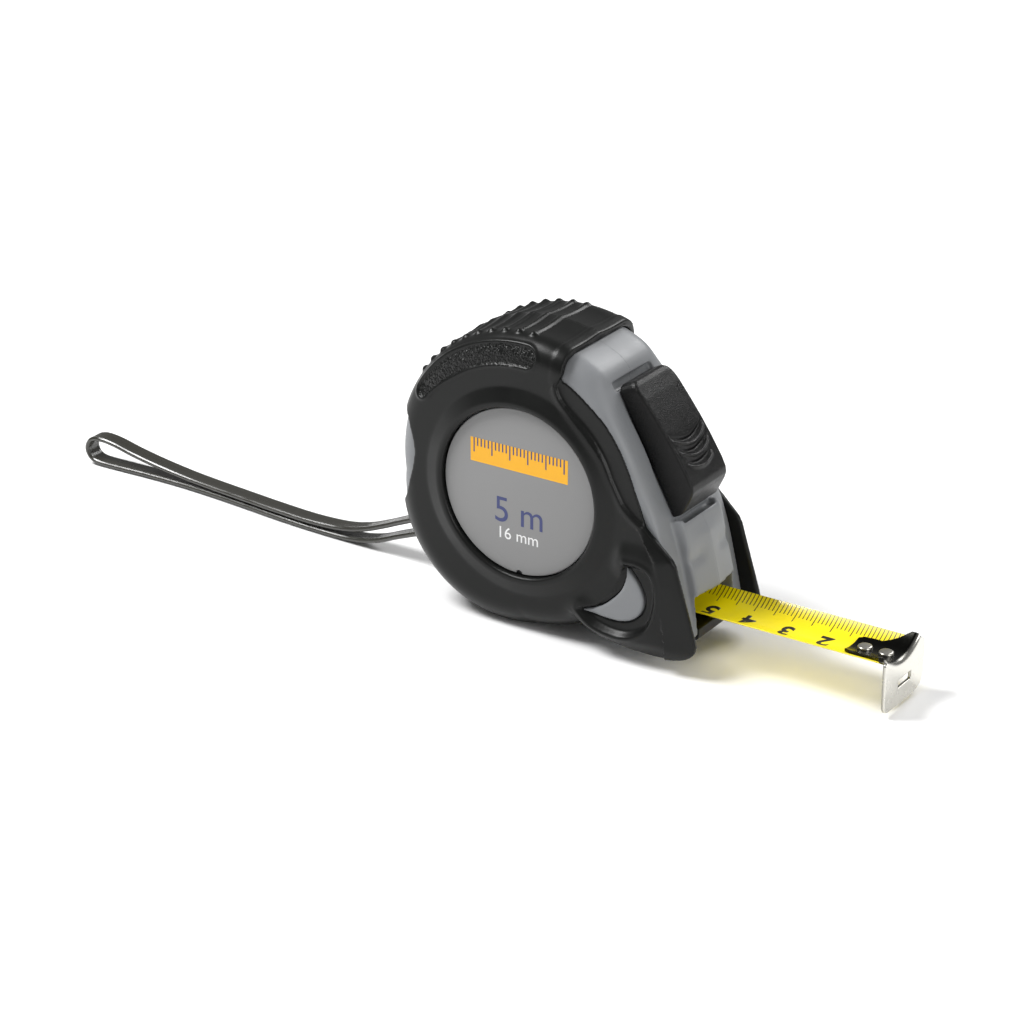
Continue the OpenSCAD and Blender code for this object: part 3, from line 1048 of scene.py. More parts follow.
@dataclass
class CaseShells:
    """The two grey ABS halves: round body, front slope, chin above the mouth."""

    block_y: float = 14.4
    pocket_half: float = 8.4
    pocket_floor: float = 31.25
    pocket_r: float = 1.6
    mouth_half: float = 8.5
    mouth_top: float = 16.6
    # height of the slope beside the lock, at stations down the slope
    shoulder: tuple[Point2, ...] = (
        (-34, 14.0), (-27, 22.8), (-19, 29.7), (-12.8, 31.1), (-8, 31.6), (-2, 32.1), (4, 32.2),
        (10, 31.8), (15, 31.5), (20, 31.1), (25, 30.3), (30, 29.2), (36, 27.6), (45, 25.0),
        (60, 20.0),
    )
    # how far the shoulder falls from there to the side of the case
    fall: tuple[Point2, ...] = (
        (-34, 9.0), (-19, 7.5), (-12.8, 4.3), (-6, 2.4), (3, 2.0), (12, 2.3), (19, 2.2),
        (24, 1.3), (45, 1.0), (60, 1.0),
    )
    # height of the chin between the lock and the mouth
    chin: tuple[Point2, ...] = (
        (20.9, 33.2), (22.5, 33.4), (25, 33.0), (31, 31.4), (38.6, 29.4), (41, 28.2), (60, 20.0)
    )

    def build(self) -> None:
        """Build both halves."""
        left = self.half()
        right = twin(left)
        self.drill(right)
        for half in (left, right):
            mould(half, 0.32, 5, keep=0.55)
            flatten(half)
            shade(half, 60)
        mirror(right)
        left.name, right.name = "shell_left", "shell_right"
        dress(left, Look.ABS, "case", ["case_left"])
        dress(right, Look.ABS, "case", ["case_right"])

    def half(self) -> bpy.types.Object:
        """The left half before its edges are rounded.

        Returns:
            The closed solid.
        """
        b = BODY
        shell = drum("shell", b.axis, b.shell_r, -b.half_width, b.seam, b.edge)
        combine(shell, drum("c", b.corner, b.corner_r, -b.half_width, b.seam, b.edge), "UNION")
        block = [
            b.slope(-16, 38), b.slope(21, 38), (46.5, 17), (45.6, 9.2), (43.4, 6.6),
            (34, 5.0), (24, 5.9), (15, 8.2), (8, 9.4), (8, 55),
        ]
        combine(shell, prism("block", block, -self.block_y, b.seam), "UNION")
        combine(shell, self.cutter(), "DIFFERENCE")
        self.hollow(shell)
        return shell

    def cutter(self) -> bpy.types.Object:
        """The space outside the front slope, whose underside is the slope's true surface.

        Returns:
            The closed solid.
        """
        stations, strips = 150, 56
        s_low, s_high, y_low, y_high = -33.0, 54.0, -18.0, 1.0
        deselect()
        bpy.ops.mesh.primitive_grid_add(x_subdivisions=stations, y_subdivisions=strips, size=1)
        grid = bpy.context.object
        at = points_of(grid)
        unit = at * MM
        s = s_low + (unit[:, 0] + 0.5) * (s_high - s_low)
        y = y_low + (unit[:, 1] + 0.5) * (y_high - y_low)
        n = self.surface(s, y)
        c, k = BODY.out()
        place = np.stack([n * c + s * k, y, BODY.axis[1] + n * k - s * c], axis=1)
        set_points(grid, place)
        bpy.ops.object.mode_set(mode="EDIT")
        bpy.ops.mesh.select_all(action="SELECT")
        bpy.ops.mesh.extrude_region_move(TRANSFORM_OT_translate={"value": (30 * MM * c, 0, 30 * MM * k)})
        face_outwards()
        return settle(grid, "cutter")

    def surface(self, s: np.ndarray, y: np.ndarray) -> np.ndarray:
        """Height of the front slope.

        Args:
            s: Distances down the slope, in mm.
            y: Places across it, in mm.

        Returns:
            Heights out from the spool axis, in mm.
        """
        wide = np.abs(y)
        beside = self.along(self.shoulder, s)
        t = np.clip((wide - 9) / (BODY.half_width - 9), 0, 1)
        side = beside - self.along(self.fall, s) * (1 - np.sqrt(np.clip(1 - t * t, 0, 1)))
        raised = self.along(self.chin, s) + 1.0 * (1 - wide / 8.5) * ramp(s, 23, 27)
        raised = raised - 0.55 * np.exp(-(((s - 30.5) / 1.5) ** 2)) * ramp(wide, 1, 5)
        within = (1 - ramp(wide, 8.3, 9.3)) * ramp(s, 20.3, 20.9)
        return side + (raised - side) * within

    def along(self, table: Sequence[Point2], s: np.ndarray) -> np.ndarray:
        """A smooth curve through a few stations, read at other stations."""
        line = np.array(smooth_line(table, 8))
        return np.interp(s, line[:, 0], line[:, 1])

    def hollow(self, shell: bpy.types.Object) -> None:
        """Cut the spool chamber, the lock's pocket, the mouth and the strap's slot.

        Args:
            shell: The solid half.
        """
        b = BODY
        room = drum("room", b.axis, b.shell_r - 1.7, -b.half_width + 2.2, 1, 4.0)
        front = prism("front", [b.slope(-40, 28.2), b.slope(40, 28.2), b.slope(40, 60),
                                b.slope(-40, 60)], -20, 2)
        combine(room, front, "DIFFERENCE")
        combine(shell, room, "DIFFERENCE")
        throat = [(20, 24), (30.5, 24), (38.4, 19.4), (48, self.mouth_top), (48, 9.3),
                  (34, 9.1), (20, 11)]
        combine(shell, prism("throat", throat, -self.mouth_half, 1), "DIFFERENCE")
        seat = [(38.6, 4), (48, 4), (48, 10), (38.6, 10)]
        combine(shell, prism("seat", seat, -self.mouth_half, 1), "DIFFERENCE")
        pocket = [b.slope(-21, self.pocket_floor), b.slope(20.7, self.pocket_floor),
                  b.slope(20.7, 50), b.slope(-21, 50)]
        cut = prism("pocket", pocket, -self.pocket_half, 8)
        corner = (self.pocket_half - 0.1) * MM
        outwards = Vector((BODY.out()[0], 0.0, BODY.out()[1]))
        round_edges(cut, lambda p, q: p.y < -corner and q.y < -corner and
                    abs((p - q).normalized().dot(outwards)) > 0.9, self.pocket_r, 5)
        combine(shell, cut, "DIFFERENCE")
        gap = [b.slope(-14.4, 29.9), b.slope(-12, 29.9), b.slope(-12, 50), b.slope(-14.4, 50)]
        combine(shell, prism("upper_gap", gap, -self.pocket_half, 1), "DIFFERENCE")
        slit = [b.slope(20.5, 30.2), b.slope(21.9, 31.2), b.slope(21.9, 50), b.slope(20.5, 50)]
        combine(shell, prism("slit", slit, -self.pocket_half + 1.2, 1), "DIFFERENCE")
        slot = [b.slope(1.7, 26), b.slope(11.4, 26), b.slope(11.4, 36), b.slope(1.7, 36)]
        combine(shell, prism("slot", slot, -2.3, 1), "DIFFERENCE")
        tail = [(-50, 9.6), (-25, 10.5), (-23.2, 14), (-25, 17.5), (-50, 18.4)]
        combine(shell, prism("tail", tail, -3, 1), "DIFFERENCE")
        seat = drum("disc_seat", b.label, b.label_r + 0.1, -20, -b.half_width + 0.6, vertices=128)
        combine(shell, seat, "DIFFERENCE")
        combine(shell, prism("island", self.island(), -16.3, -13), "UNION")

    def island(self) -> list[Point2]:
        """The crescent island, which fills the window with a thin gap round it."""
        loop = BODY.crescent()
        cx = sum(p[0] for p in loop) / len(loop)
        cz = sum(p[1] for p in loop) / len(loop)
        return [(cx + (x - cx) * 0.97, cz + (z - cz) * 0.97) for x, z in loop]

    def drill(self, shell: bpy.types.Object) -> None:
        """Cut the countersunk screw holes of the hidden side."""
        for spot in ScrewSet().spots:
            combine(shell, drum("hole", spot, 2.55, -18.0, -13.0, vertices=40), "DIFFERENCE")


@dataclass
class Grip:
    """Rubber overmould: rounded skin, ring, front cheeks, cross ribs and textured pads."""

    skin_r: float = 36.8
    skin_half: float = 16.2
    edge: float = 6.0
    ribs: int = 10
    first_rib: float = 88.5
    rib_step: float = 6.2
    ring_crest: float = 17.5
    pad_inner: float = 29.2
    pad_outer: float = 34.7
    pad_start: float = 84.5
    pad_end: float = 151.0
    pad_depth: float = 0.3
    lip_height: float = 0.32
    crown_drop: float = 0.55
    # how far the cheek stands proud, how deep its bowl is and how far its front band falls
    cheek_rise: float = 1.15
    bowl_depth: float = 1.6
    front_fall: float = 1.7
    s_curve: tuple[Point2, ...] = (
        (9.7, 65.4), (10.6, 62.8), (12.3, 60.5), (18.4, 54.8), (22.8, 49.8), (25.1, 45.2),
        (28.1, 39.9), (30.6, 37.4), (33.6, 35.4),
    )
    grey_line: tuple[Point2, ...] = (
        (9.9, 66.6), (13.5, 65.0), (17.7, 62.2), (23.4, 57.2), (28.0, 50.4), (31.2, 42.8),
        (33.9, 35.2),
    )
    bowl: tuple[Point2, ...] = (
        (29.5, 26.0), (33.5, 26.0), (36.8, 24.2), (38.3, 18.3), (36.7, 11.5), (33.4, 8.1),
        (28.1, 6.3), (21.2, 7.4), (16.0, 10.6),
    )
    ridge: tuple[Point2, ...] = (
        (31.0, 37.0), (37.4, 27.5), (39.2, 22.0), (39.6, 14.0), (40.4, 7.5), (40.0, 0.0),
    )
    front: tuple[Point2, ...] = ((34.4, 36.0), (41.6, 28.6), (47.6, 9.0), (48.0, 0.0))
    lower_lip: tuple[Point2, ...] = (
        (48.0, 8.2), (47.4, 6.3), (45.6, 4.7), (43, 3.8), (38, 3.2), (31.5, 3.4), (24, 5.0),
        (18.5, 7.2), (14.5, 9.4), (11, 11.5),
    )

    def build(self) -> None:
        """Build both halves: ribs and pads on each, screw holes in the hidden one."""
        left = self.half()
        right = twin(left)
        for spot in ScrewSet().spots:
            combine(right, drum("hole", spot, 2.6, -20.0, -12.0, vertices=40), "DIFFERENCE")
        for half in (left, right):
            mould(half, 0.34, 4)
            self.sculpt(half)
            apply_modifier(half, "SMOOTH", factor=0.5, iterations=1)
            self.crown(half)
            self.press_pad(half)
            flatten(half)
            apply_modifier(half, "DECIMATE", ratio=0.62)
            self.mark_pad(half)
            shade(half, 60)
        mirror(right)
        left.name, right.name = "grip_skin_left", "grip_skin_right"
        dress(left, Look.RUBBER, "case", ["grip_left"])
        dress(right, Look.RUBBER, "case", ["grip_right"])

    def half(self) -> bpy.types.Object:
        """The left half before its edges are rounded.

        Returns:
            The closed solid.
        """
        b = BODY
        skin = drum("grip", b.axis, self.skin_r, -self.skin_half, b.seam, self.edge)
        corner = drum("c", b.corner, b.corner_r + b.skin, -self.skin_half, b.seam, self.edge + 1)
        combine(skin, corner, "UNION")
        rear = [(9.9, 80), (7.6, 66), (7.6, 24), (21, 16), (21, -4), (-60, -4), (-60, 80)]
        combine(skin, prism("rear", rear, -20, 2), "INTERSECT")
        combine(skin, self.collar(), "UNION")
        line = smooth_line(self.s_curve, 6)
        upper = [*line, (30, 28), (20, 20), (6, 20), (6, 64), (8.6, 66.6)]
        combine(skin, prism("upper", upper, -self.skin_half, -13.6), "UNION")
        panel = [*smooth_line(self.grey_line, 6), (30, 28), (8, 40), (8, 66)]
        combine(skin, prism("panel", panel, -15.3, -13.6), "UNION")
        combine(skin, self.cheek(), "UNION")
        combine(skin, self.ring(), "UNION")
        for i in range(self.ribs):
            combine(skin, self.rib(self.first_rib + self.rib_step * i), "UNION")
        self.cut(skin)
        return skin

    def collar(self) -> bpy.types.Object:
        """The proud band along the grip's front edge, over the shoulder.

        Returns:
            The closed solid.
        """
        band = drum("band", BODY.axis, self.skin_r + 0.35, -self.skin_half - 0.1, BODY.seam, 6.2)
        keep = prism("keep", [(12.3, 80), (11.3, 67.4), (9.6, 64.5), (8.2, 66), (9.6, 80)], -20, 2)
        return combine(band, keep, "INTERSECT")

    def cheek(self) -> bpy.types.Object:
        """The front cheek, a plate that stands proud of the nose.

        Returns:
            The closed solid.
        """
        kink = [(33.6, 35.4), (41.2, 28.8), (42.2, 27.2), (47.4, 10.6)]
        outline = [*kink, *smooth_line(self.lower_lip, 5), (6, 20), (20, 30), (28, 38)]
        return prism("cheek", outline, -self.skin_half, -14.3)

    def ring(self) -> bpy.types.Object:
        """The ring round the label, turned from its cross-section.

        Returns:
            The closed solid.
        """
        inner = BODY.label_r + 0.25
        profile = [(inner, 14.2), (inner, 17.0), (inner + 0.45, self.ring_crest),
                   (22.5, self.ring_crest), (25.9, 16.3), (26.8, self.skin_half - 0.15),
                   (26.9, 14.2)]
        return turned("ring", profile, BODY.label, 144)

    def rib(self, angle: float) -> bpy.types.Object:
        """One cross rib with a round end, at an angle about the spool axis.

        Args:
            angle: Its angle from +X towards +Z, in degrees.

        Returns:
            The closed solid.
        """
        deselect()
        radius = self.skin_r - 0.5
        a = math.radians(angle)
        place = (radius * math.cos(a) * MM, -5.4 * MM, (BODY.axis[1] + radius * math.sin(a)) * MM)
        bpy.ops.mesh.primitive_cylinder_add(
            vertices=20, radius=1.0 * MM, depth=12 * MM, location=place,
            rotation=(math.pi / 2, 0, 0),
        )
        bar = settle(bpy.context.object, "rib")
        bpy.ops.mesh.primitive_uv_sphere_add(
            segments=20, ring_count=12, radius=1.15 * MM, location=(place[0], -11.3 * MM, place[2])
        )
        return combine(bar, settle(bpy.context.object, "rib_end"), "UNION")

    def cut(self, skin: bpy.types.Object) -> None:
        """Cut the grip's inside, its windows, the strap's slot and the floor.

        Args:
            skin: The solid half.
        """
        b = BODY
        inner = drum("inner", b.axis, b.shell_r - 0.4, -b.half_width + 0.3, 2, b.edge)
        combine(inner, drum("c", b.corner, b.corner_r - 0.4, -b.half_width + 0.3, 2, b.edge), "UNION")
        combine(skin, inner, "DIFFERENCE")
        nose = [(12, 60), b.slope(-14, 31), b.slope(20, 31), (42, 27), (47.5, 12), (46, 8),
                (42, 5.4), (34, 4.7), (24, 5.9), (12, 9.4)]
        combine(skin, prism("nose", nose, -14.35, 2), "DIFFERENCE")
        combine(skin, drum("hole", b.label, b.label_r + 0.2, -20, -10), "DIFFERENCE")
        combine(skin, prism("window", b.crescent(), -20, -13), "DIFFERENCE")
        back = smooth_line([(-37.5, 23), (-33.5, 26.4), (-31.5, 31.5), (-30.2, 36.5),
                            (-30, 41.1), (-31.9, 47.6), (-34.5, 50.4)], 4)
        combine(skin, prism("rear_window", [*back, (-60, 50.4), (-60, 23)], -20, 2), "DIFFERENCE")
        tail = [(-50, 9.6), (-25, 10.5), (-23, 14), (-25, 17.5), (-50, 18.4)]
        combine(skin, prism("tail", tail, -3, 2), "DIFFERENCE")
        floor = prism("floor_cut", [(-60, -6), (60, -6), (60, 0), (-60, 0)], -30, 3)
        combine(skin, floor, "DIFFERENCE")

    def sculpt(self, skin: bpy.types.Object) -> None:
        """Press the bowl round the crescent and slope the cheek's front band.

        Args:
            skin: The grip's half, which is changed in place.
        """
        at = points_of(skin)
        x, y, z = at.T
        r = np.hypot(x - BODY.label[0], z - BODY.label[1])
        edge = smooth_line(self.bowl, 5)
        apart = to_line(x, z, edge)
        within = inside(x, z, [*edge, (21.5, 12.5), (26, 17), (28.5, 22)])
        bowl = self.cheek_rise - self.bowl_depth * ramp(apart, 0.0, 1.7)
        rise = np.where(within, bowl, self.cheek_rise * (1 - ramp(apart, 0.3, 6)))
        ahead = inside(x, z, [*self.ridge, (60, 0), (60, 40)])
        to_ridge, to_front = to_line(x, z, self.ridge), to_line(x, z, self.front)
        share = to_ridge / (to_ridge + to_front + 1e-6)
        rise = np.where(ahead, self.cheek_rise - self.front_fall * share, rise)
        rise = rise + 0.3 * np.exp(-((apart / 0.7) ** 2))
        under = 1.0 * ramp(-z, -7.0, -3.0) * ramp(x, 14, 20)
        blend = ramp(x, 10, 20) * (1 - ramp(z, 30, 36)) * ramp(r, 26.2, 29.5)
        bead = 0.35 * (1 - ramp(to_line(x, z, smooth_line(self.s_curve, 6)), 0.2, 2.2))
        rear = inside(x, z, [*self.s_curve, (20, 20), (-10, 40)])
        lift = (rise - under) * blend + bead * rear
        at[:, 1] = y - lift * ramp(-y, 14.9, 16.1)
        set_points(skin, at)

    def pad_shape(self, at: np.ndarray) -> np.ndarray:
        """How deep inside the textured pad each point is.

        Args:
            at: Points, in mm.

        Returns:
            Distance to the pad's edge in mm, above 0 inside it.
        """
        dx, dz = at[:, 0] - BODY.axis[0], at[:, 2] - BODY.axis[1]
        r = np.hypot(dx, dz)
        turn = np.degrees(np.arctan2(dz, dx))
        mid = (self.pad_inner + self.pad_outer) / 2
        half = (self.pad_outer - self.pad_inner) / 2
        half = half * (1 - 0.28 * ramp(turn, 125, 152))
        arc_mm = math.pi / 180 * mid
        start = (self.pad_start + 3.2 - turn) * arc_mm
        end = (turn - self.pad_end + 4.6) * arc_mm
        over = np.maximum(np.maximum(start, end), 0)
        across = np.abs(r - mid - 0.5 * ramp(turn, 120, 150)) * 1.25
        return half * 1.25 - np.hypot(over, across)

    def on_pad(self, at: np.ndarray) -> np.ndarray:
        """Where the outside of the rim is, among points in mm."""
        return (at[:, 1] < -11) & (np.hypot(at[:, 0], at[:, 2] - BODY.axis[1]) > 27)

    def press_pad(self, skin: bpy.types.Object) -> None:
        """Press the pad and raise its thin lip.

        Args:
            skin: The grip's half, which is changed in place.
        """
        at = points_of(skin)
        depth = self.pad_shape(at)
        normals = np.zeros(len(at) * 3, np.float32)
        skin.data.vertices.foreach_get("normal", normals)
        lip = np.exp(-((depth / 0.45) ** 2)) * self.lip_height
        press = ramp(depth, 0.3, 0.9) * self.pad_depth
        rise = (lip - press) * self.on_pad(at)
        set_points(skin, at + normals.reshape(-1, 3) * rise[:, None])

    def mark_pad(self, skin: bpy.types.Object) -> None:
        """Mark the pad for the finish, as the attribute "pad".

        Args:
            skin: The grip's half, which is changed in place.
        """
        at = points_of(skin)
        layer = skin.data.attributes.new("pad", "FLOAT", "POINT")
        mark = ramp(self.pad_shape(at), 0.4, 0.9) * self.on_pad(at)
        layer.data.foreach_set("value", mark.astype(np.float32))

    def crown(self, skin: bpy.types.Object) -> None:
        """Dip the top a little halfway to each side, so that the ribs are not quite straight.

        Args:
            skin: The grip's half, which is changed in place.
        """
        at = points_of(skin)
        dx, dz = at[:, 0] - BODY.axis[0], at[:, 2] - BODY.axis[1]
        r, wide = np.hypot(dx, dz), np.abs(at[:, 1])
        flat = self.skin_half - self.edge
        past = np.clip(wide - flat, 0, self.edge)
        surface = self.skin_r - self.edge + np.sqrt(self.edge**2 - past**2)
        turn = np.degrees(np.arctan2(dz, dx)) % 360
        share = ramp(turn, 55, 70) * (1 - ramp(turn, 165, 200)) * ramp(r - surface, -1.1, -0.5)
        drop = share * self.crown_drop * np.sin(math.pi * np.clip(wide / BODY.half_width, 0, 1))
        at[:, 0] -= dx / r * drop
        at[:, 2] -= dz / r * drop
        set_points(skin, at)


def turned(name: str, profile: Sequence[Point2], centre: Point2, steps: int) -> bpy.types.Object:
    """Spin a closed cross-section about an axis along Y.

    Args:
        name: Name of the new object.
        profile: The cross-section as (radius, distance towards -Y), in mm.
        centre: The axis on the X-Z plane, in mm.
        steps: Number of steps round the axis.

    Returns:
        The closed solid.
    """
    deselect()
    bpy.ops.mesh.primitive_circle_add(vertices=len(profile), radius=1, fill_type="NOTHING")
    obj = bpy.context.object
    for vertex, (radius, out) in zip(obj.data.vertices, profile):
        vertex.co = ((centre[0] + radius) * MM, -out * MM, centre[1] * MM)
    bpy.ops.object.mode_set(mode="EDIT")
    bpy.ops.mesh.select_all(action="SELECT")
    bpy.ops.mesh.spin(
        steps=steps,
        angle=2 * math.pi,
        center=(centre[0] * MM, 0, centre[1] * MM),
        axis=(0, 1, 0),
    )
    bpy.ops.mesh.select_all(action="SELECT")
    bpy.ops.mesh.remove_doubles(threshold=SAME_PLACE)
    face_outwards()
    return settle(obj, name)


def bar(name: str, outline: Sequence[Point2], x_low: float, x_high: float) -> bpy.types.Object:
    """Extrude an outline on the Y-Z plane along X.

    Args:
        name: Name of the new object.
        outline: Its corners as (y, z), in mm.
        x_low: Where the extrusion starts, in mm.
        x_high: Where it ends, in mm.

    Returns:
        The closed solid.
    """
    obj = prism(name, outline, -x_high, -x_low)
    obj.data.transform(Matrix.Rotation(math.pi / 2, 4, "Z"))
    return obj


@dataclass
class Labels:
    """The two discs in the rings; the near one has a plain printed size mark."""

    face: float = 16.2
    back: float = 14.4
    notch_r: float = 0.9
    print_t: float = 0.03

    def build(self) -> None:
        """Build both discs and the print."""
        left = self.disc()
        right = twin(left)
        mirror(right)
        left.name, right.name = "disc_left", "disc_right"
        dress(left, Look.DISC, "case", ["label_left"])
        dress(right, Look.DISC, "case", ["label_right"])
        self.strip()
        self.words("mark_length", "5 m", 9.2, (0.0, 30.6), Look.NAVY)
        self.words("mark_width", "16 mm", 4.2, (0.0, 24.8), Look.WHITE)

    def disc(self) -> bpy.types.Object:
        """The left disc, with its small notch at the bottom.

        Returns:
            The closed solid.
        """
        b = BODY
        disc = drum("disc", b.label, b.label_r - 0.05, -self.face, -self.back, 0.0, 160)
        foot = (b.label[0], b.label[1] - b.label_r)
        combine(disc, drum("notch", foot, self.notch_r, -20, -10, 0.0, 32), "DIFFERENCE")
        rim = (-self.face + 0.01) * MM
        round_edges(disc, lambda p, q: p.y < rim and q.y < rim, 0.28, 3)
        shade(disc, 40)
        return disc

    def strip(self) -> None:
        """A printed ruler strip above the words: amber band with navy marks."""
        low, high, half = 41.2, 47.2, 13.5
        outline = [(-half, low), (half, low), (half, high), (-half, high)]
        band = prism("mark_band", outline, -self.face - self.print_t, -self.face + 0.1)
        dress(band, Look.AMBER, "case")
        ticks = []
        for i in range(26):
            x = -12.5 + i
            tall = 3.6 if i % 5 == 0 else 2.0
            corners = [(x - 0.16, high - tall), (x + 0.16, high - tall), (x + 0.16, high), (x - 0.16, high)]
            ticks.append(prism("tick", corners, -self.face - self.print_t * 2, -self.face + 0.05))
        marks = merge(*ticks)
        marks.name = "mark_ticks"
        dress(marks, Look.NAVY, "case")

    def words(self, name: str, body: str, size: float, centre: Point2, look: Look) -> None:
        """Print a few characters on the near disc.

        Args:
            name: Name of the piece.
            body: The characters.
            size: Their size, in mm.
            centre: Their centre on the X-Z plane, in mm.
            look: Their finish.
        """
        text = lettering(name, body, size, 0.0)
        at = points_of(text)
        middle = (at.min(axis=0) + at.max(axis=0)) / 2
        flat = np.stack([at[:, 0] - middle[0] + centre[0],
                         np.full(len(at), -self.face - self.print_t),
                         at[:, 1] - middle[1] + centre[1]], axis=1)
        set_points(text, flat)
        apply_modifier(text, "SOLIDIFY", thickness=INK_T, offset=-1.0)
        dress(text, look, "case")


def merge(first: bpy.types.Object, *others: bpy.types.Object) -> bpy.types.Object:
    """Join other pieces' meshes into a piece.

    Args:
        first: The piece that is kept.
        *others: The pieces that it takes in.

    Returns:
        The piece that is kept.
    """
    pick(first)
    for other in others:
        other.select_set(True)
    bpy.ops.object.join()
    return first


def lettering(name: str, body: str, size: float, bold: float) -> bpy.types.Object:
    """Characters as a flat mesh on the X-Y plane.

    Args:
        name: Name of the new object.
        body: The characters.
        size: Their size, in mm.
        bold: How far their outlines are pushed outwards, in mm.

    Returns:
        The flat mesh.
    """
    deselect()
    bpy.ops.object.text_add()
    text = bpy.context.object
    text.data.body = body
    text.data.size = size * MM
    text.data.offset = bold * MM
    text.data.align_x = "CENTER"
    text.data.fill_mode = "FRONT"
    bpy.ops.object.convert(target="MESH")
    return settle(bpy.context.object, name)


@dataclass
class ThumbLock:
    """The thumb lock: a grained slider with three crescent ridges, and its arm inside."""

    half: float = 8.0
    profile: tuple[Point2, ...] = (
        (-13.0, 31.5), (-13.0, 35.0), (-12.6, 35.8), (-11.6, 36.3), (-8, 37.2), (-3.0, 38.1),
        (1.5, 38.8), (6.1, 39.3), (12, 39.7), (14.4, 39.6), (15.8, 39.1), (16.9, 38.0),
        (19.3, 34.6), (19.7, 33.6), (19.7, 31.5),
    )
    # the ridges, as (place down the slope, half length)
    ridges: tuple[tuple[float, float], ...] = ((4.4, 7.0), (7.3, 6.3), (10.2, 5.2))
    corner_r: float = 2.4

    def build(self) -> None:
        """Build the slider and the arm."""
        outline = [BODY.slope(s, n) for s, n in self.profile]
        button = prism("thumb_slider", outline, -self.half, self.half)
        side = (self.half - 0.1) * MM
        round_edges(button, lambda p, q: abs(p.y) > side and abs(q.y) > side
                    and p.y * q.y > 0 and self.height(p) > 34 and self.height(q) > 34, 0.6, 3)
        mould(button, 0.24, 3)
        self.sculpt(button)
        shade(button, 50)
        stem = prism("stem", [BODY.slope(7, 31.6), BODY.slope(11, 31.6), BODY.slope(11, 27.6),
                              BODY.slope(7, 27.6)], -2, 2)
        merge(button, stem)
        dress(button, Look.LOCK, "lock", ["lock_button"])

    def height(self, point: Vector) -> float:
        """Distance of a point from the spool axis along the slope's normal, in mm."""
        c, k = BODY.out()
        return point.x / MM * c + (point.z / MM - BODY.axis[1]) * k

    def sculpt(self, button: bpy.types.Object) -> None:
        """Raise the thumb ridges and press the hollow between them.

        Args:
            button: The slider, which is changed in place.
        """
        at = points_of(button)
        c, k = BODY.out()
        x, y, z = at[:, 0], at[:, 1], at[:, 2] - BODY.axis[1]
        s, n = x * k - z * c, x * c + z * k
        near = np.clip(np.abs(y) - (self.half - self.corner_r), 0, None) / self.corner_r
        pull = self.corner_r * (1 - np.sqrt(np.clip(1 - near**2, 0, 1))) * (1 - ramp(s, -13.2, -9.0))
        lift = -0.35 * np.exp(-(((s - 7.0) / 5.0) ** 2 + (y / 6.0) ** 2))
        for place, reach in self.ridges:
            bend = place - 0.05 * y * y + 1.0
            fade = np.sqrt(np.clip(1 - (y / reach) ** 2, 0, 1))
            lift = lift + 0.8 * fade * np.exp(-(((s - bend) / 0.5) ** 2))
            lift = lift - 0.6 * fade * np.exp(-(((s - bend + 1.1) / 0.5) ** 2))
        top = ramp(n, 35.5, 37.0) * (1 - ramp(np.abs(y), 7.0, 7.6))
        at[:, 0] += lift * top * c + pull * k
        at[:, 2] += lift * top * k - pull * c
        set_points(button, at)


@dataclass
class Blade:
    """The curved strip from the coil to the hook, with its printed numbers."""

    tail_x: float = 27.5
    end_x: float = 91.0
    width: float = 15.7
    curve_r: float = 12.6
    low_z: float = 10.9
    thick: float = 0.2
    numbers: tuple[int, ...] = (2, 3, 4, 5)
    number_x: float = 93.4
    number_y: float = -0.8
    number_size: float = 6.8
    number_bold: float = 0.2
    number_lift: float = 0.025

    def build(self) -> None:
        """Build the strip and the numbers."""
        strip = self.strip()
        dress(strip, Look.BLADE, "blade", ["tape_blade"])
        for number in self.numbers:
            self.digit(number)

    def surface(self, y: np.ndarray) -> np.ndarray:
        """Height of the blade's upper face above the floor."""
        return self.low_z + self.curve_r - np.sqrt(self.curve_r**2 - y**2)

    def strip(self) -> bpy.types.Object:
        """The yellow strip, curved across its width and given its thickness.

        Returns:
            The closed solid.
        """
        deselect()
        bpy.ops.mesh.primitive_grid_add(x_subdivisions=64, y_subdivisions=36, size=1)
        strip = bpy.context.object
        at = points_of(strip)
        unit = at * MM
        x = self.tail_x + (unit[:, 0] + 0.5) * (self.end_x - self.tail_x)
        y = unit[:, 1] * self.width
        set_points(strip, np.stack([x, y, self.surface(y)], axis=1))
        strip = settle(strip, "blade_strip")
        apply_modifier(strip, "SOLIDIFY", thickness=self.thick * MM, offset=-1)
        shade(strip, 50)
        return strip

    def digit(self, number: int) -> None:
        """Print one number, which reads from the hook's end, on the hollow face.

        Args:
            number: The number, and its distance from the hook in cm.
        """
        text = lettering(f"scale_number_{number}", str(number), self.number_size, self.number_bold)
        pick(text)
        bpy.ops.object.mode_set(mode="EDIT")
        bpy.ops.mesh.select_all(action="SELECT")
        bpy.ops.mesh.quads_convert_to_tris()
        bpy.ops.mesh.subdivide(number_cuts=3)
        bpy.ops.object.mode_set(mode="OBJECT")
        at = points_of(text)
        middle = (at.min(axis=0) + at.max(axis=0)) / 2
        x = self.number_x - 10 * number - (at[:, 0] - middle[0])
        y = self.number_y - (at[:, 1] - middle[1])
        set_points(text, np.stack([x, y, self.surface(y) + self.number_lift], axis=1))
        apply_modifier(text, "SOLIDIFY", thickness=INK_T, offset=-1.0)
        dress(text, Look.INK, "blade")


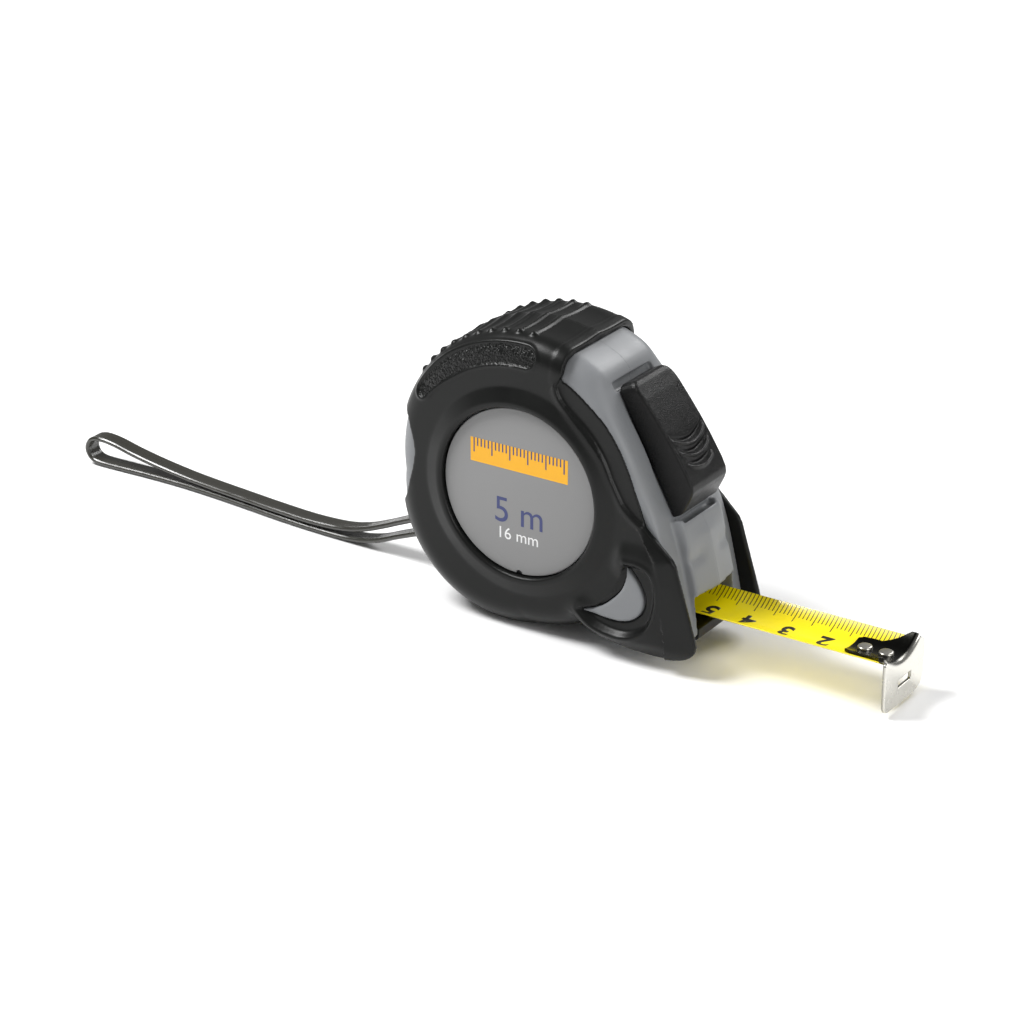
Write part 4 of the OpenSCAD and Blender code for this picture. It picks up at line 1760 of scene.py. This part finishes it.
@dataclass
class EndHook:
    """The bent end hook and its two rivets."""

    face_x: float = 92.5
    thick: float = 0.9
    tang_r: float = 12.55
    tang_t: float = 0.8
    tang_z: float = 23.5
    tang_half: float = 8.2
    bend_r: float = 1.5
    nail: tuple[Point2, ...] = ((-2.25, 5.2), (4.05, 5.2), (4.05, 7.2), (-2.25, 7.2))
    rivets: tuple[float, float] = (83.5, 88.9)
    # a rivet's head, shank and foot, as (radius, low, high, rounded edge)
    rivet_parts: tuple[tuple[float, float, float, float], ...] = (
        (1.75, 11.72, 12.5, 0.4), (0.88, 10.4, 12.2, 0.0), (1.6, 10.05, 10.6, 0.2),
    )
    plate: tuple[Point2, ...] = (
        (-8.8, 2.8), (-8.2, 1.5), (-7.0, 1.0), (6.6, 1.0), (9.2, 2.0), (10.4, 4.2),
        (10.6, 11.6), (10.0, 12.9), (8.6, 13.9), (-8.2, 13.9), (-8.8, 13.2),
    )
    tang: tuple[Point2, ...] = (
        (80.0, -3.4), (81.4, -4.2), (86.0, -4.4), (88.6, -6.0), (91.0, -8.0), (93.4, -8.2),
        (93.4, 8.2), (91.0, 8.0), (88.6, 6.0), (86.0, 4.4), (81.4, 4.2), (80.0, 3.4),
    )

    def build(self) -> None:
        """Build the hook and the rivets."""
        hook = self.sheet()
        dress(hook, Look.CHROME, "hook", ["end_hook"])
        heads = merge(*[self.rivet(x) for x in self.rivets])
        heads.name = "rivet_pair"
        dress(heads, Look.RIVET, "blade", ["hook_rivets"])

    def band(self, y: np.ndarray, radius: float) -> np.ndarray:
        """Height of the tang at a distance from the middle, on a radius of its curve."""
        return self.tang_z - np.sqrt(radius**2 - y**2)

    def sheet(self) -> bpy.types.Object:
        """The plate and the tang as one bent sheet.

        Returns:
            The closed solid.
        """
        half = self.tang_half
        across = np.linspace(-half, half, 41)
        low = [(y, float(self.band(y, self.tang_r))) for y in across]
        high = [(y, float(self.band(y, self.tang_r - self.tang_t))) for y in across[::-1]]
        tang = bar("tang", [*low, *high], 79, self.face_x + self.thick)
        outline = prism("tang_outline", [(x, -y) for x, y in self.tang], 0, 30)
        outline.data.transform(Matrix.Rotation(math.pi / 2, 4, "X"))
        combine(tang, outline, "INTERSECT")
        plate = bar("end_plate", self.plate, self.face_x, self.face_x + self.thick)
        above = [*high[::-1], (half, 20), (-half, 20)]
        combine(plate, bar("above", above, self.face_x - 1, self.face_x + 3), "DIFFERENCE")
        combine(tang, plate, "UNION")
        slot = bar("nail", self.nail, self.face_x - 1, self.face_x + 2)
        combine(tang, slot, "DIFFERENCE")
        mould(tang, 0.17, 3)
        at = points_of(tang)
        top = self.band(np.clip(at[:, 1], -half, half), self.tang_r - self.tang_t)
        dx = at[:, 0] - (self.face_x + self.thick - self.bend_r)
        dz = at[:, 2] - (top - self.bend_r)
        far = np.hypot(dx, dz)
        pull = np.where((dx > 0) & (dz > 0) & (far > self.bend_r), self.bend_r / (far + 1e-9), 1)
        at[:, 0] += dx * (pull - 1)
        at[:, 2] += dz * (pull - 1)
        set_points(tang, at)
        shade(tang, 50)
        tang.name = "hook_sheet"
        return tang

    def rivet(self, x: float) -> bpy.types.Object:
        """One rivet with a flat-topped domed head.

        Args:
            x: Its place along the blade, in mm.

        Returns:
            The closed solid.
        """
        parts = []
        for radius, low, high, edge in self.rivet_parts:
            deselect()
            bpy.ops.mesh.primitive_cylinder_add(
                vertices=48, radius=radius * MM, depth=(high - low) * MM,
                location=(x * MM, 0, (low + high) / 2 * MM),
            )
            part = settle(bpy.context.object, "rivet")
            if edge:
                # the head, made first, is rounded on top and the foot underneath
                face = (low if parts else high) * MM
                round_edges(part, lambda p, q: abs(p.z - face) < 1e-6
                            and abs(q.z - face) < 1e-6, edge, 4)
            parts.append(part)
        rivet = merge(*parts)
        shade(rivet, 40)
        return rivet


@dataclass
class MouthBumper:
    """The rubber block that the hook rests on below the mouth."""

    half: float = 8.4
    profile: tuple[Point2, ...] = ((38.5, 5.2), (43.0, 5.5), (44.7, 7.0), (44.7, 9.4), (38.5, 9.7))

    def build(self) -> None:
        """Build the block with its tongue."""
        block = prism("bumper_block", self.profile, -self.half, self.half)
        tongue = prism("tongue", [(40, 7), (42, 7), (42, 9), (40, 9)], -9.6, 9.6)
        combine(block, tongue, "UNION")
        mould(block, 0.22, 3)
        shade(block, 50)
        dress(block, Look.RUBBER, "case", ["mouth_bumper"])


@dataclass
class BeltClip:
    """The bent spring strip on the hidden side."""

    half: float = 6.5
    screw_z: float = 65.5
    profile: tuple[Point2, ...] = (
        (16.2, 62.6), (16.2, 68.6), (17.1, 68.6), (17.1, 63.4), (20.6, 60.4), (20.6, 19.0),
        (18.7, 15.5), (20.5, 11.2), (19.7, 10.8), (17.7, 15.6), (19.7, 19.4), (19.7, 60.0),
    )

    def build(self) -> None:
        """Build the strip with rounded ends and bends."""
        strip = bar("clip_strip", self.profile, -self.half, self.half)
        side = (self.half - 0.1) * MM
        ends = (11.3, 68.5)
        round_edges(strip, lambda p, q: p.x * q.x > 0 and abs(p.x) > side and abs(q.x) > side
                    and abs((p - q).z) < 0.5 * MM and (min(p.z, q.z) < ends[0] * MM
                                                       or min(p.z, q.z) > ends[1] * MM), 2.2, 6)
        hole = drum("hole", (0, self.screw_z), 1.5, 10, 24, vertices=32)
        combine(strip, hole, "DIFFERENCE")
        mould(strip, 0.26, 3)
        shade(strip, 50)
        dress(strip, Look.ZINC, "case", ["belt_clip"])


@dataclass
class InnerWorks:
    """Pieces that keep their exact shape and take a better finish."""

    finishes: tuple[tuple[str, Look], ...] = (
        ("lock_arm", Look.LOCK), ("centre_post", Look.ZINC), ("spool_drum", Look.ACETAL),
        ("spool_lid", Look.ACETAL), ("mainspring", Look.SPRING), ("tape_coil", Look.BLADE),
        ("tape_lead", Look.BLADE), ("strap_pin", Look.ZINC), ("clip_screw", Look.ZINC),
    )

    def build(self) -> None:
        """Give each kept piece its finish."""
        for name, look in self.finishes:
            obj = frame["nodes"][name]
            obj.data.materials.clear()
            obj.data.materials.append(look.material())
            LOG.info("%s: kept, %s", name, look.value.name)


@dataclass
class ScrewSet:
    """The four case screws, driven from the hidden side."""

    spots: tuple[Point2, ...] = ((-21.5, 58.5), (-28.6, 29.5), (32.5, 6.8), (36.6, 22.0))
    head_r: float = 2.3
    head_y: tuple[float, float] = (12.9, 14.3)
    cross: tuple[float, float] = (0.4, 1.6)

    def build(self) -> None:
        """Build the heads with their cross recesses."""
        low, high = self.head_y
        heads = []
        for x, z in self.spots:
            head = drum("screw_heads", (x, z), self.head_r, -high, -low, 0.35, 40)
            for half_x, half_z in (self.cross, self.cross[::-1]):
                corners = [(x - half_x, z - half_z), (x + half_x, z - half_z),
                           (x + half_x, z + half_z), (x - half_x, z + half_z)]
                combine(head, prism("cross", corners, -high - 1, -high + 0.8), "DIFFERENCE")
            heads.append(head)
        screws = merge(*heads)
        mirror(screws)
        shade(screws, 35)
        dress(screws, Look.ZINC, "case", ["case_screws"])


def main() -> None:
    """Build the sub-assemblies in order."""
    logging.basicConfig(level=logging.INFO, format="%(message)s", stream=sys.stdout)
    Studio().build()
    WristStrap().build()
    for part in (CaseShells, Grip, Labels, ThumbLock, Blade, EndHook, MouthBumper, BeltClip,
                 ScrewSet, InnerWorks):
        part().build()


if __name__ == "__main__":
    main()
